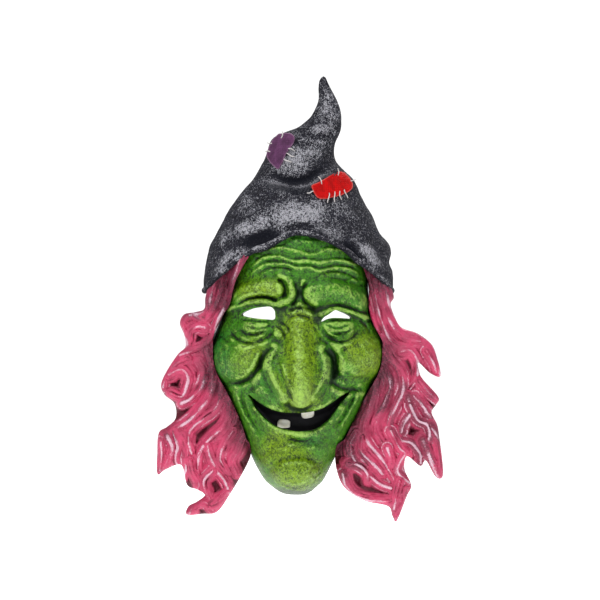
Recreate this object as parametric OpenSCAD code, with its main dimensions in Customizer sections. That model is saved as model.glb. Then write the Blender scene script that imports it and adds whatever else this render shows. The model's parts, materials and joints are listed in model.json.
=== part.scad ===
// Latex witch mask: a cast face skin, a cast pointed hat, two cast hair pieces and a riveted elastic strap.
// Millimetres. +Z is up, the face looks along -Y, and +X is to the viewer's right.
// The origin lies on the plane of the face's rim, midway between the eye holes.

/* [Face] */
// Width across the cheeks
face_w = 156; // [140:1:180]
// Height from the chin to the top edge that the hat hides
face_h = 254; // [225:1:290]
// Depth from the rim to the cheeks, without the nose
face_d = 62; // [52:1:76]
// Thickness of the latex skin
skin_t = 2.4; // [1.6:0.1:3.2]
// How far the nose stands out of the face
nose_out = 40; // [20:1:50]
// Distance between the middles of the eye holes
eye_gap = 70; // [62:1:80]
// Width of each eye hole
eye_w = 29; // [22:1:34]
// Width of the mouth
mouth_w = 96; // [70:1:104]
// Height of the mouth at its middle
mouth_h = 16; // [10:1:22]
// Radius of the breathing holes under the nose
nostril_r = 3; // [2:0.5:4]

/* [Mouth] */
// Thickness of the black sheet behind the mouth
liner_t = 1.5; // [1:0.1:2.5]
// How far that sheet laps over the skin round the mouth
liner_lap = 9; // [6:0.5:11]
// Depth of the pocket between the lips and that sheet
pocket = 9; // [7:0.5:12]
// Width of each tooth
tooth_w = 11; // [8:0.5:13]
// Height of each tooth, root included
tooth_h = 10; // [8:0.5:12]
// Thickness of each tooth, front to back
tooth_t = 4.5; // [3.5:0.5:6]

/* [Hat] */
// How much wider the brim's two side points are than the face
hat_spread = 12; // [10:1:30]
// Height from the side points to the tip
hat_h = 194; // [165:1:230]
// Thickness of the hat's latex
hat_t = 3; // [2:0.1:4]
// Space between the top of the forehead and the inside of the hat
hat_gap = 3.5; // [2.5:0.5:6]
// Thickness of the rolled hem
hem_d = 6; // [4:0.5:8]

/* [Patches] */
// Width of the red patch
red_w = 38; // [28:1:44]
// Height of the red patch
red_h = 20; // [14:1:24]
// Width of the purple patch
purple_w = 20; // [14:1:24]
// Height of the purple patch
purple_h = 32; // [22:1:38]
// Thickness of both patches
patch_t = 1.4; // [0.8:0.1:2]
// Diameter of the stitching thread
thread_d = 1.2; // [0.8:0.1:1.6]
// Length of the loose thread ends
thread_l = 6; // [4:0.5:8]

/* [Hair] */
// Front-to-back thickness of a lock, as a share of its width
lock_flat = 0.62; // [0.5:0.02:0.75]
// Space between the hair and the face
hair_gap = 0.4; // [0.2:0.1:1]

/* [Strap] */
// Height of the strap above the middle of the eye holes
strap_z = 30; // [24:1:34]
// Width of the elastic
strap_w = 14; // [10:1:16]
// Thickness of the elastic
strap_t = 1.2; // [0.8:0.1:1.6]
// Distance from the rim plane back to the strap's back stretch
strap_back = 76; // [60:1:110]
// Radius of the strap's two corners
strap_corner = 25; // [15:1:30]
// Length over which the two strap halves overlap
strap_overlap = 62; // [50:1:66]
// Length of the slider
slider_l = 18; // [14:1:22]
// Thickness of the slider's bars
slider_bar = 1.8; // [1.4:0.1:2.4]

/* [Rivets] */
// Diameter of the rivet's shank
shank_d = 4; // [3:0.5:5]
// Diameter of the rivet's two heads
head_d = 9; // [8:0.5:11]
// Thickness of each rivet head
head_t = 1.6; // [1:0.1:2.2]
// Thickness of the side tab
tab_t = 2; // [1.4:0.1:3]
// Height of the side tab
tab_h = 22; // [18:1:26]
// Distance of the rivet behind the rim plane
rivet_y = 9; // [8:1:14]

/* [Hidden] */

// Clearances
running = 0.05;   // radial, between the shank and the parts that turn on it
glue = 0.2;       // between pieces that are glued face to face
slack = 0.15;     // axial, between the parts on a shank
slide_gap = 0.3;  // between the slider and the elastic

// Hardware that follows the shank
barrel_d = shank_d + 1.4;
flange_d = shank_d + 4.4;
flange_t = 0.5;
washer_t = 0.6;
washer_d = head_d - 0.6;

// The face skin's rings: [height, half width, depth], as shares of face_h, face_w / 2 and face_d
FACE_RINGS = [
    [-0.638, 0.12, 0.16], [-0.630, 0.18, 0.44], [-0.614, 0.25, 0.68], [-0.590, 0.33, 0.84],
    [-0.543, 0.42, 0.93], [-0.465, 0.54, 0.95], [-0.370, 0.68, 0.95], [-0.276, 0.83, 0.97],
    [-0.205, 0.96, 1.00], [-0.142, 1.00, 1.00], [-0.094, 0.98, 1.00], [-0.010, 0.87, 1.00],
    [ 0.059, 0.82, 1.00], [ 0.177, 0.82, 0.98], [ 0.264, 0.78, 0.92], [ 0.362, 0.71, 0.80]];
face_low = FACE_RINGS[0][0] * face_h;
face_top = FACE_RINGS[15][0] * face_h;

// The hat's rings: [height, middle, half width, front depth, back depth]. Height is a share of hat_h
// above the side points, the middle and half width are shares of hat_w / 2, and the depths are
// millimetres from the hat's own middle plane.
HAT_RINGS = [
    [-0.05, 0.01, 1.00, 60, 26], [0.00, 0.01, 1.01, 60, 27], [0.15, 0.01, 1.00, 60, 28],
    [ 0.23, 0.02, 0.96, 59, 29], [0.31, 0.03, 0.88, 57, 30], [0.38, 0.02, 0.78, 52, 31],
    [ 0.46, 0.03, 0.65, 43, 32], [0.54, 0.06, 0.52, 34, 31], [0.60, 0.03, 0.42, 28, 29],
    [ 0.65, 0.03, 0.37, 24, 25], [0.70, 0.05, 0.355, 21, 22], [0.735, 0.10, 0.33, 18, 19],
    [ 0.76, 0.17, 0.28, 16, 15], [0.79, 0.25, 0.22, 13, 12], [0.84, 0.31, 0.165, 11, 10],
    [ 0.90, 0.33, 0.11, 8, 8], [0.96, 0.30, 0.06, 5, 5], [1.00, 0.29, 0.022, 1.8, 1.8]];
hat_y = -8;
hat_low = 17;
hat_top = hat_low + hat_h;
edge_mid = hat_low + 0.26 * hat_h;
edge_back = hat_low + 0.53 * hat_h;

// Eye holes, as shares of half an eye hole's width, measured from its middle
LEFT_EYE = [[-1.0, -0.02], [-0.90, 0.09], [-0.45, 0.30], [0.2, 0.42], [0.75, 0.45], [0.95, 0.25],
            [1.02, -0.05], [0.98, -0.38], [0.55, -0.36], [-0.1, -0.27], [-0.85, -0.16]];
RIGHT_EYE = [[-1.0, -0.44], [-0.72, -0.10], [-0.40, 0.14], [-0.05, 0.24], [0.3, 0.10], [0.85, -0.10],
             [1.02, -0.30], [0.7, -0.24], [0.2, -0.20], [-0.2, -0.22], [-0.6, -0.32]];

// Hair locks: lists of [x, y, z, half width], from the root to the tip
LEFT_LOCKS = [
    [[-60, -18, 52, 7], [-67, -15, 32, 8], [-70, -13, 14, 8], [-80, -10, -2, 10], [-93, -8, -10, 10],
     [-88, -8, -30, 9]],
    [[-76, -10, -6, 9], [-88, -8, -28, 11], [-98, -8, -48, 12], [-110, -6, -62, 9], [-114, -6, -72, 6]],
    [[-88, -8, -38, 11], [-92, -8, -75, 14], [-102, -8, -100, 13], [-114, -6, -122, 9], [-121, -4, -141, 3]],
    [[-84, -8, -50, 10], [-82, -8, -85, 14], [-88, -8, -112, 13], [-95, -6, -138, 8], [-98, -4, -152, 3]],
    [[-78, -8, -75, 10], [-70, -8, -105, 13], [-72, -8, -132, 12], [-72, -6, -155, 9], [-84, -4, -172, 5],
     [-96, -3, -179, 3]],
    [[-72, -8, -92, 8], [-58, -8, -118, 10], [-56, -6, -142, 8], [-64, -4, -163, 6]]];
RIGHT_LOCKS = [
    [[60, -18, 48, 7], [67, -15, 30, 8], [71, -13, 12, 8], [82, -10, -8, 10], [99, -8, -24, 9],
     [114, -6, -34, 8], [124, -4, -52, 4]],
    [[78, -10, -8, 9], [86, -8, -30, 11], [98, -8, -50, 12], [111, -8, -68, 10], [119, -6, -78, 6]],
    [[88, -8, -38, 11], [97, -8, -68, 14], [108, -8, -95, 13], [118, -6, -120, 9], [127, -4, -142, 3]],
    [[84, -8, -52, 11], [86, -8, -85, 14], [92, -8, -110, 13], [103, -6, -127, 8], [109, -4, -134, 3]],
    [[80, -8, -75, 11], [72, -8, -105, 14], [78, -8, -130, 13], [91, -6, -147, 10], [96, -4, -158, 5]],
    [[70, -8, -92, 8], [54, -8, -120, 12], [54, -6, -145, 11], [72, -4, -158, 8], [83, -3, -172, 5],
     [86, -3, -182, 3]]];

// ---------- curves and grids ----------

// Position in a table whose rows rise in their first value
function row_of(t, table, i = 0) =
    i >= len(table) - 2 || t <= table[i + 1][0] ? i : row_of(t, table, i + 1);

// Value of column k at t, on a smooth curve through the table
function smooth(t, table, k) =
    let (i = row_of(t, table), n = len(table) - 1,
         a = table[max(i - 1, 0)], b = table[i], c = table[i + 1], d = table[min(i + 2, n)],
         span = c[0] - b[0], f = min(max((t - b[0]) / span, 0), 1),
         rise_b = (c[k] - a[k]) / (c[0] - a[0]) * span,
         rise_c = (d[k] - b[k]) / (d[0] - b[0]) * span)
    b[k] * (2 * f * f * f - 3 * f * f + 1) + rise_b * (f * f * f - 2 * f * f + f)
    + c[k] * (3 * f * f - 2 * f * f * f) + rise_c * (f * f * f - f * f);

// A rounded hill of height h at the middle of x and z, with radii rx and rz
function hill(x, z, cx, cz, rx, rz, h) = h * exp(-pow((x - cx) / rx, 2) - pow((z - cz) / rz, 2));

// Two triangles for each cell between row r and row r + 1 of a grid of points
function cells(rows, cols, first, wrap, flip) =
    [for (r = [0 : rows - 2], c = [0 : cols - (wrap ? 1 : 2)], half = [0, 1])
        let (a = first + r * cols + c, b = first + r * cols + (c + 1) % cols,
             d = a + cols, e = b + cols,
             tri = half == 0 ? [a, b, e] : [a, e, d])
        flip ? [tri[2], tri[1], tri[0]] : tri];

// A strip of triangles between two equal chains of point numbers
function strip(p, q, n, step) =
    [for (i = [0 : n - 1]) each [[p + i * step, q + i * step, q + (i + 1) * step],
                                 [p + i * step, q + (i + 1) * step, p + (i + 1) * step]]];

// A sheet between two grids of points, outer and inner, with its four edges closed
module sheet(outer, inner) {
    rows = len(outer);
    cols = len(outer[0]);
    n = rows * cols;
    polyhedron(
        points = concat([for (r = outer) each r], [for (r = inner) each r]),
        faces = concat(
            cells(rows, cols, 0, false, false), cells(rows, cols, n, false, true),
            strip(0, n, cols - 1, 1), strip(2 * n - cols, n - cols, cols - 1, 1),
            strip(n, 0, rows - 1, cols), strip(cols - 1, n + cols - 1, rows - 1, cols)),
        convexity = 10);
}

// A hollow cap between two grids of closed rings, open at its first ring and closed at its last
module cap(outer, inner) {
    rows = len(outer);
    cols = len(outer[0]);
    n = rows * cols;
    polyhedron(
        points = concat([for (r = outer) each r], [for (r = inner) each r]),
        faces = concat(
            cells(rows, cols, 0, true, true), cells(rows, cols, n, true, false),
            [for (c = [0 : cols - 1]) each
                [[c, (c + 1) % cols, n + (c + 1) % cols], [c, n + (c + 1) % cols, n + c]]],
            [for (c = [1 : cols - 2]) each
                [[n - cols, n - cols + c + 1, n - cols + c],
                 [2 * n - cols, 2 * n - cols + c, 2 * n - cols + c + 1]]]),
        convexity = 10);
}

// A round bar along a chain of [point, direction across it, direction up from it]
module bar(chain, r, sides = 10) {
    n = len(chain);
    polyhedron(
        points = [for (p = chain, s = [0 : sides - 1])
            p[0] + r * (cos(360 * s / sides) * p[1] + sin(360 * s / sides) * p[2])],
        faces = concat(
            cells(n, sides, 0, true, false),
            [[for (s = [sides - 1 : -1 : 0]) s], [for (s = [0 : sides - 1]) (n - 1) * sides + s]]),
        convexity = 10);
}

// A moulded piece is one skin, so its whole shape is taken as one mesh at its own size
module moulded() {
    resize([0, 0, 0]) children();
}

// Draws a right-hand piece, or its mirror image on the left
module on_side(side) {
    mirror([side < 0 ? 1 : 0, 0, 0]) children();
}

// ---------- the face ----------

function face_half(z) = smooth(z / face_h, FACE_RINGS, 1) * face_w / 2;
function face_depth(z) = smooth(z / face_h, FACE_RINGS, 2) * face_d;

nose_tip_z = -0.312 * face_h;
mouth_z = -0.346 * face_h;

// How far the features stand out of the plain skin. The nose's hollow ends above its underside.
function relief(x, z, off) =
    let (tip = nose_tip_z + 3 * max(off, 0),
         down = min(max(z / tip, 0), 1),
         past = max(tip - z, 0),
         nose_half = 8 + 11 * sin(160 * down) - off)
    nose_out * pow(down, 1.3) * exp(-pow(past / 3.5, 2)) * exp(-pow(x / nose_half, 2))
    + hill(x, z, -0.42 * face_w / 2, 0.085 * face_h, 22, 11, 8)
    + hill(x, z, 0.42 * face_w / 2, 0.085 * face_h, 22, 13, 9)
    + hill(x, z, -0.66 * face_w / 2, -0.165 * face_h, 20, 19, 13)
    + hill(x, z, 0.66 * face_w / 2, -0.165 * face_h, 20, 19, 13)
    + hill(x, z, 0, mouth_z + 12, 38, 16, 7)
    + hill(x, z, 0, -0.555 * face_h, 17, 15, 13);

// A point on the skin: a is the angle round the face, -90 to 90, and off is how far inside it lies
function face_point(a, z, off) =
    let (x = (face_half(z) - off) * sin(a),
         front = pow(max(cos(a), 0), 0.8))
    [x, -max(face_depth(z) - off, 1) * front - relief(x, z, off) * min(3 * front, 1), z];

function face_angle(x, z, off) = asin(min(max(x / (face_half(z) - off), -1), 1));
function face_y(x, z, off) = face_point(face_angle(x, z, off), z, off)[1];

function face_row(t, rise) = face_top - (face_top - face_low - rise) * (0.6 * t + 0.4 * sin(90 * t));
function face_grid(off, rise, across, down) =
    [for (j = [0 : down]) let (z = face_row(j / down, rise))
        [for (i = [0 : across]) face_point(-90 + 180 * i / across, z, off)]];

// The upper and lower edges of the mouth opening at x
function mouth_rise(x) = pow(abs(x) / (mouth_w / 2), 2.2);
function upper_lip(x) = mouth_z + (1.15 * mouth_h) * mouth_rise(x);
function lower_lip(x) = mouth_z - mouth_h + (2.15 * mouth_h) * pow(abs(x) / (mouth_w / 2), 1.7);
function mouth_outline(steps = 16) =
    concat([for (i = [0 : steps]) let (x = mouth_w * (i / steps - 0.5)) [x, upper_lip(x)]],
           [for (i = [steps - 1 : -1 : 1]) let (x = mouth_w * (i / steps - 0.5)) [x, lower_lip(x)]]);

module cut_through(outline) {
    rotate([90, 0, 0]) linear_extrude(height = 3 * face_d) polygon(outline);
}

module face_shell() {
    color("yellowgreen")
    moulded() difference() {
        sheet(face_grid(0, 0, 44, 48), face_grid(skin_t, skin_t, 44, 48));
        cut_through([for (p = LEFT_EYE) [-eye_gap / 2 + p[0] * eye_w / 2, p[1] * eye_w / 2]]);
        cut_through([for (p = RIGHT_EYE) [eye_gap / 2 + p[0] * eye_w / 2, p[1] * eye_w / 2]]);
        cut_through(mouth_outline());
        for (side = [-1, 1])
            translate([side * (nostril_r + 5), -face_d - 8, nose_tip_z])
                rotate([-20, 0, 0]) cylinder(r = nostril_r, h = 26, center = true, $fn = 16);
    }
}

// Everything that the face fills, out to a distance gap and far behind the rim
module face_space(gap) {
    front = face_grid(-gap, 0, 36, 40);
    back = [for (r = front) [for (p = r) [p[0], face_d, p[2]]]];
    sheet(front, back);
}

// ---------- the mouth ----------

liner_half = mouth_w / 2 + liner_lap / 2;

// Edges of the sheet behind the mouth, which laps over the skin all round the opening
function lip_x(x) = min(max(x, -mouth_w / 2), mouth_w / 2);
function liner_top(x) = upper_lip(lip_x(x)) + liner_lap;
function liner_low(x) = lower_lip(lip_x(x)) - liner_lap;

// Where the front of that sheet lies: against the skin at its edges and pocket behind it at its middle
function liner_y(x, z) =
    let (u = min(abs(x) / liner_half, 1),
         v = (2 * z - liner_top(x) - liner_low(x)) / (liner_top(x) - liner_low(x)))
    face_y(x, z, skin_t + glue + 0.2) + pocket * (1 - pow(u, 3)) * max(1 - pow(v, 4), 0);

function liner_grid(off) =
    [for (j = [0 : 12]) [for (i = [0 : 24])
        let (x = (i / 12 - 1) * liner_half,
             z = liner_top(x) + (liner_low(x) - liner_top(x)) * j / 12)
        [x, liner_y(x, z) + off, z]]];

module mouth_liner() {
    color("black") sheet(liner_grid(0), liner_grid(liner_t));
}

// A tooth with rounded corners, whose back is glued to that sheet
module tooth(x, z) {
    corner = tooth_w / 4;
    back = min([for (i = [-0.5, 0.5], j = [-0.5, 0.5]) liner_y(x + i * tooth_w, z + j * tooth_h)]) - glue;
    color("white")
    translate([x, back, z]) rotate([90, 0, 0])
        linear_extrude(height = tooth_t)
            offset(r = corner, $fn = 32) square([tooth_w - 2 * corner, tooth_h - 2 * corner], center = true);
}

module upper_tooth() {
    tooth(0.19 * mouth_w / 2, mouth_z - 0.45 * mouth_h + tooth_h / 2);
}

module lower_tooth() {
    tooth(-0.25 * mouth_w / 2, mouth_z - 0.36 * mouth_h - tooth_h / 2);
}

// ---------- the hat ----------

function hat_share(z) = (z - hat_low) / hat_h;
function hat_mid(z) = smooth(hat_share(z), HAT_RINGS, 1) * hat_w / 2;
function hat_half(z) = smooth(hat_share(z), HAT_RINGS, 2) * hat_w / 2;
// The lower rings keep clear of the forehead, whatever its depth is
hat_w = face_w + hat_spread;
hat_grow = 0.92 * face_d + hat_gap + hat_t + hat_y - 54.54;
function hat_front(z) = smooth(hat_share(z), HAT_RINGS, 3) + hat_grow * min(max(2 - 3 * hat_share(z), 0), 1);
function hat_rear(z) = smooth(hat_share(z), HAT_RINGS, 4);

// A point on the hat: a is the angle round it, 0 at the front, and off is how far inside it lies
function hat_point(a, z, off) =
    let (deep = cos(a) > 0 ? hat_front(z) : hat_rear(z))
    [hat_mid(z) + max(hat_half(z) - off, 0.4) * sin(a), hat_y - max(deep - off, 0.4) * cos(a), z];

// Height of the hat's lowest line: an arch over the forehead, a point at each side, and a high back
function hat_edge(a) =
    let (s = abs(sin(a)))
    cos(a) > 0 ? edge_mid - (edge_mid - hat_low) * pow(s, 1.8)
               : edge_back - (edge_back - hat_low) * pow(s, 1.4);

function hat_grid(off, drop, around, up) =
    [for (j = [0 : up]) [for (i = [0 : around - 1])
        let (a = 360 * i / around, low = hat_edge(a) + hem_d + glue)
        hat_point(a, low + (hat_top - drop - low) * j / up, off)]];

module hat_shell() {
    color("dimgray")
    cap(hat_grid(0, 0, 52, 32), hat_grid(hat_t, 0.14 * hat_h, 52, 32));
}

module hat_hem() {
    color("darkslategray")
    bar([for (a = [-105 : 5 : 105])
            let (at = hat_point(a, hat_edge(a) + hem_d / 2, hat_t / 2))
            [at, [sin(a), -cos(a), 0], [0, 0, 1]]], hem_d / 2);
}

// A point on a patch: u and v run across and up it, and off is how far outside the hat it lies
function patch_point(mid, tilt, u, v, off) =
    let (across = u * cos(tilt) - v * sin(tilt), z = mid[1] + u * sin(tilt) + v * cos(tilt))
    hat_point(mid[0] + across / hat_half(mid[1]) * 180 / PI, z, -off);

module patch(mid, tilt, w, h) {
    function grid(off) =
        [for (j = [0 : 6]) [for (i = [0 : 8])
            patch_point(mid, tilt, (i / 8 - 0.5) * w, (0.5 - j / 6) * h, off)]];
    sheet(grid(glue + patch_t), grid(glue));
}

// Loose thread ends beyond a patch's edge: each is [u, v] where it starts and its direction
module threads(mid, tilt, ends) {
    for (e = ends) {
        start = patch_point(mid, tilt, e[0], e[1], thread_d / 2 + glue);
        finish = patch_point(mid, tilt, e[0] + thread_l * cos(e[2]), e[1] + thread_l * sin(e[2]),
                             thread_d / 2 + 2 * glue);
        run = finish - start;
        translate(start)
            rotate([0, acos(run[2] / norm(run)), atan2(run[1], run[0])])
                cylinder(r = thread_d / 2, h = norm(run), $fn = 16);
    }
}

red_mid = [34, hat_low + 0.495 * hat_h];
red_tilt = 22;
purple_mid = [-38, hat_low + 0.66 * hat_h];
purple_tilt = -20;
thread_start = thread_d / 2 + glue;

module patch_red() {
    color("red") patch(red_mid, red_tilt, red_w, red_h);
}

module patch_purple() {
    color("rosybrown") patch(purple_mid, purple_tilt, purple_w, purple_h);
}

module stitches_red() {
    low = -red_h / 2 - thread_start;
    high = red_h / 2 + thread_start;
    color("silver")
    threads(red_mid, red_tilt,
            concat([for (i = [-2 : 2]) [i * red_w / 6, low, -90]],
                   [for (i = [-1 : 1]) [i * red_w / 5, high, 90]]));
}

module stitches_purple() {
    right = purple_w / 2 + thread_start;
    left = -right;
    color("silver")
    threads(purple_mid, purple_tilt,
            concat([for (i = [-1 : 1]) [right, i * purple_h / 4, 0]],
                   [for (i = [-1 : 1]) [left, i * purple_h / 4, 180]]));
}

// ---------- the hair ----------

// A lock keeps its place beside the face when the face's width or height changes
function beside(p) =
    let (z = p[2] * face_h / 254)
    [p[0] + sign(p[0]) * (face_w / 2 - 78), p[1], z, p[3]];

module lock(points) {
    for (i = [0 : len(points) - 2])
        hull()
            for (p = [beside(points[i]), beside(points[i + 1])])
                translate([p[0], p[1], p[2]]) scale([1, lock_flat, 1]) sphere(r = p[3], $fn = 14);
}

module hair(locks) {
    color("hotpink")
    moulded() difference() {
        union() for (points = locks) lock(points);
        face_space(hair_gap);
    }
}

module hair_left() {
    hair(LEFT_LOCKS);
}

module hair_right() {
    hair(RIGHT_LOCKS);
}

// ---------- the side tabs and rivets ----------

tab_x = face_half(strap_z) - skin_t - glue - 0.4;
washer_x = tab_x - tab_t - slack;
eyelet_x = washer_x - washer_t - slack;
band_x = eyelet_x - flange_t - slack / 2;
inner_washer_x = band_x - strap_t - slack / 2 - flange_t - slack;
head_x = inner_washer_x - washer_t - slack;

// A round piece on the rivet's axis, from x down to x - length, with a hole of radius bore
module on_axis(x, length, r, bore = 0) {
    translate([x, rivet_y, strap_z]) rotate([0, -90, 0])
        difference() {
            cylinder(r = r, h = length, $fn = 48);
            if (bore > 0) translate([0, 0, -1]) cylinder(r = bore, h = length + 2, $fn = 48);
        }
}

module side_tab(side) {
    color("wheat")
    on_side(side) difference() {
        union() {
            translate([tab_x - tab_t, -rivet_y, strap_z - tab_h / 2]) cube([tab_t, 2 * rivet_y, tab_h]);
            on_axis(tab_x, tab_t, tab_h / 2);
        }
        on_axis(tab_x + 1, tab_t + 2, shank_d / 2 + running);
    }
}

module rivet(side) {
    color("silver")
    on_side(side) union() {
        on_axis(tab_x + glue + head_t, head_t, head_d / 2);
        on_axis(tab_x + glue + 0.1, tab_x + glue - head_x + 0.2, shank_d / 2);
        on_axis(head_x, head_t, head_d / 2);
    }
}

module washers(side) {
    color("gainsboro")
    on_side(side)
        for (x = [washer_x, inner_washer_x]) on_axis(x, washer_t, washer_d / 2, shank_d / 2 + running);
}

module eyelet(side) {
    bore = shank_d / 2 + running;
    color("goldenrod")
    on_side(side) difference() {
        union() {
            on_axis(eyelet_x, flange_t, flange_d / 2);
            on_axis(eyelet_x - 0.1, eyelet_x - inner_washer_x - slack - 0.2, barrel_d / 2);
            on_axis(inner_washer_x + slack + flange_t, flange_t, flange_d / 2);
        }
        on_axis(eyelet_x + 1, eyelet_x - inner_washer_x + 2, bore);
    }
}

module side_tab_left() { side_tab(-1); }
module side_tab_right() { side_tab(1); }
module rivet_left() { rivet(-1); }
module rivet_right() { rivet(1); }
module washers_left() { washers(-1); }
module washers_right() { washers(1); }
module eyelet_left() { eyelet(-1); }
module eyelet_right() { eyelet(1); }

// ---------- the strap ----------

// Half of the elastic: a round end at the rivet, a straight side, a corner and a straight back
// whose outer face lies at back
module strap_half(side, back) {
    corner_x = band_x - strap_corner;
    corner_y = back - strap_corner;
    low = strap_z - strap_w / 2;
    color("black")
    on_side(side) difference() {
        union() {
            on_axis(band_x, strap_t, strap_w / 2);
            translate([band_x - strap_t, rivet_y, low]) cube([strap_t, corner_y - rivet_y, strap_w]);
            translate([corner_x, corner_y, low])
                rotate_extrude(angle = 90, $fn = 72)
                    translate([strap_corner - strap_t, 0]) square([strap_t, strap_w]);
            translate([-strap_overlap / 2, back - strap_t, low])
                cube([corner_x + strap_overlap / 2, strap_t, strap_w]);
        }
        on_axis(band_x + 1, strap_t + 2, barrel_d / 2 + running);
    }
}

module strap_left() {
    strap_half(-1, strap_back);
}

module strap_right() {
    strap_half(1, strap_back - strap_t - slack);
}

// Three bars and two rails round both halves: the outer bars behind them, the middle bar in front
module strap_slider() {
    stack = 2 * strap_t + slack;
    front = strap_back - stack - slide_gap;
    depth = stack + 2 * slide_gap;
    tall = strap_w + 2 * slide_gap + 2 * slider_bar;
    bar_l = slider_l / 4;
    color("dimgray")
    union() {
        for (end = [-1, 1])
            translate([-slider_l / 2, front - slider_bar,
                       strap_z + end * (strap_w / 2 + slide_gap + slider_bar / 2) - slider_bar / 2])
                cube([slider_l, depth + 2 * slider_bar, slider_bar]);
        for (x = [-slider_l / 2, slider_l / 2 - bar_l])
            translate([x, front + depth, strap_z - tall / 2]) cube([bar_l, slider_bar, tall]);
        translate([-bar_l / 2, front - slider_bar, strap_z - tall / 2]) cube([bar_l, slider_bar, tall]);
    }
}

face_shell();
mouth_liner();
upper_tooth();
lower_tooth();
hat_shell();
hat_hem();
patch_purple();
patch_red();
stitches_purple();
stitches_red();
hair_left();
hair_right();
side_tab_left();
side_tab_right();
rivet_left();
rivet_right();
washers_left();
washers_right();
eyelet_left();
eyelet_right();
strap_left();
strap_right();
strap_slider();
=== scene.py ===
import json
import math

import bpy
import numpy as np
from mathutils import Matrix, Vector

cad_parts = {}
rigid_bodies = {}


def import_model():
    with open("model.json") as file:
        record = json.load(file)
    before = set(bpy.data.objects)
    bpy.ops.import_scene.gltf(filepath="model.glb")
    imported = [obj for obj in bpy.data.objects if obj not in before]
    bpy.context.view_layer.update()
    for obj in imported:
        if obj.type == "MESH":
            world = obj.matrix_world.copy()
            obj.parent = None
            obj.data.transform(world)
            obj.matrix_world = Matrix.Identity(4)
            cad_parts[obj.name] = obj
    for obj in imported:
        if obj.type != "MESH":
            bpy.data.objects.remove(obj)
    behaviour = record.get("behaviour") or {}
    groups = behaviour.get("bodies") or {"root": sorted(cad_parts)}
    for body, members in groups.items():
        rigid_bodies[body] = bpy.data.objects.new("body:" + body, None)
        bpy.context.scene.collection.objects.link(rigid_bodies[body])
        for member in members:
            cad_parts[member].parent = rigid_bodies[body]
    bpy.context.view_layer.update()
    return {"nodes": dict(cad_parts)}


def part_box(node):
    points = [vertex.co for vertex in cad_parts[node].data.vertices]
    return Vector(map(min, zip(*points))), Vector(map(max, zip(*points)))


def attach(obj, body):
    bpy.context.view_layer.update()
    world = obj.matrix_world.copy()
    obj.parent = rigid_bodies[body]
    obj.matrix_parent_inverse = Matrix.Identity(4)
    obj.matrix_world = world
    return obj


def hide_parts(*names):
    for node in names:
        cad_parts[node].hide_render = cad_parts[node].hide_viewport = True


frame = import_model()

bl_info = {
    "name": "Latex Witch Mask",
    "version": (1, 0, 0),
    "blender": (4, 5, 0),
    "location": "View3D > Sidebar > Witch Mask",
    "description": "Builds a cast latex witch mask with a bent hat, moulded hair and a riveted elastic strap",
    "category": "Object",
}

MM = 0.001
# How much of the deep mark, groove paint and painted shade, the unseen side of a skin gets
INSIDE_DEEP = 0.8
# Places of the colour sockets on a Mix node
MIX_A, MIX_B, MIX_RESULT = 6, 7, 2


# ---------------------------------------------------------------- sizes and colours


def length_prop(name, text, value):
    return bpy.props.FloatProperty(name=name, description=text, default=value * MM, min=0.0, unit="LENGTH", precision=4)


def colour_prop(name, text, value):
    return bpy.props.FloatVectorProperty(
        name=name, description=text, default=value, size=3, min=0.0, max=1.0, subtype="COLOR"
    )


class WitchMaskSizes(bpy.types.PropertyGroup):
    skin: length_prop("Face skin", "Thickness of the face's latex", 2.4)
    hat_skin: length_prop("Hat skin", "Thickness of the hat's latex", 3.0)
    wrinkle: bpy.props.FloatProperty(
        name="Wrinkles", description="Depth of the wrinkles, 1 is as cast", default=1.0, min=0.0
    )
    hair_ridge: length_prop("Hair ridges", "Height of the ridges between the locks", 4.4)
    weave: length_prop("Hat weave", "Spacing of the coarse threads pressed into the hat", 1.9)
    patch: length_prop("Patch", "How far a patch stands out of the hat", 1.6)
    thread: length_prop("Thread", "Diameter of the stitching", 1.0)
    camera: length_prop("Camera distance", "Distance from the mask to the camera", 2400.0)


class WitchMaskColours(bpy.types.PropertyGroup):
    green: colour_prop("Green", "Main paint of the face", (0.050, 0.210, 0.004))
    olive: colour_prop("Olive", "Yellower green on the nose, chin and cheeks", (0.175, 0.290, 0.003))
    pale: colour_prop("Pale green", "Dry brushing on the wrinkles' crests", (0.330, 0.520, 0.110))
    cool: colour_prop("Cool green", "Bluer green on the left cheek and under the lip", (0.020, 0.190, 0.030))
    # Dark green for the creases, also the colour of the face's painted shade
    wash_and_shade: colour_prop("Dark wash", "Dark green that stays in the creases", (0.004, 0.016, 0.004))
    hat: colour_prop("Charcoal", "Paint of the hat", (0.011, 0.011, 0.016))
    silver: colour_prop("Silver", "Dry brushing on the hat's weave", (0.430, 0.430, 0.465))
    red: colour_prop("Red", "The red patch", (0.500, 0.002, 0.002))
    mauve: colour_prop("Mauve", "The purple patch", (0.120, 0.045, 0.110))
    pink: colour_prop("Pink", "Main paint of the hair", (0.500, 0.056, 0.135))
    crimson: colour_prop("Crimson", "Paint in the hair's grooves", (0.085, 0.002, 0.014))
    blush: colour_prop("Blush", "Silver-pink on the hair's ridges", (0.660, 0.480, 0.560))
    # Grey smoky paint, also the colour of the hair's painted shade under the hat and by the face
    smoke: colour_prop("Smoke", "Grey shading in the hair", (0.038, 0.018, 0.027))
    mouth: colour_prop("Mouth", "The lining behind the open mouth", (0.006, 0.006, 0.009))
    tooth: colour_prop("Tooth", "The teeth", (0.840, 0.830, 0.770))
    latex: colour_prop("Raw latex", "The unpainted inside", (0.560, 0.420, 0.240))
    thread: colour_prop("Thread", "The loose stitching", (0.600, 0.570, 0.560))
    elastic: colour_prop("Elastic", "The head strap", (0.010, 0.010, 0.011))
    steel: colour_prop("Steel", "Rivets and washers", (0.620, 0.620, 0.630))
    brass: colour_prop("Brass", "The strap's eyelets", (0.620, 0.420, 0.160))


# ---------------------------------------------------------------- curves, distances and noise


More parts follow.
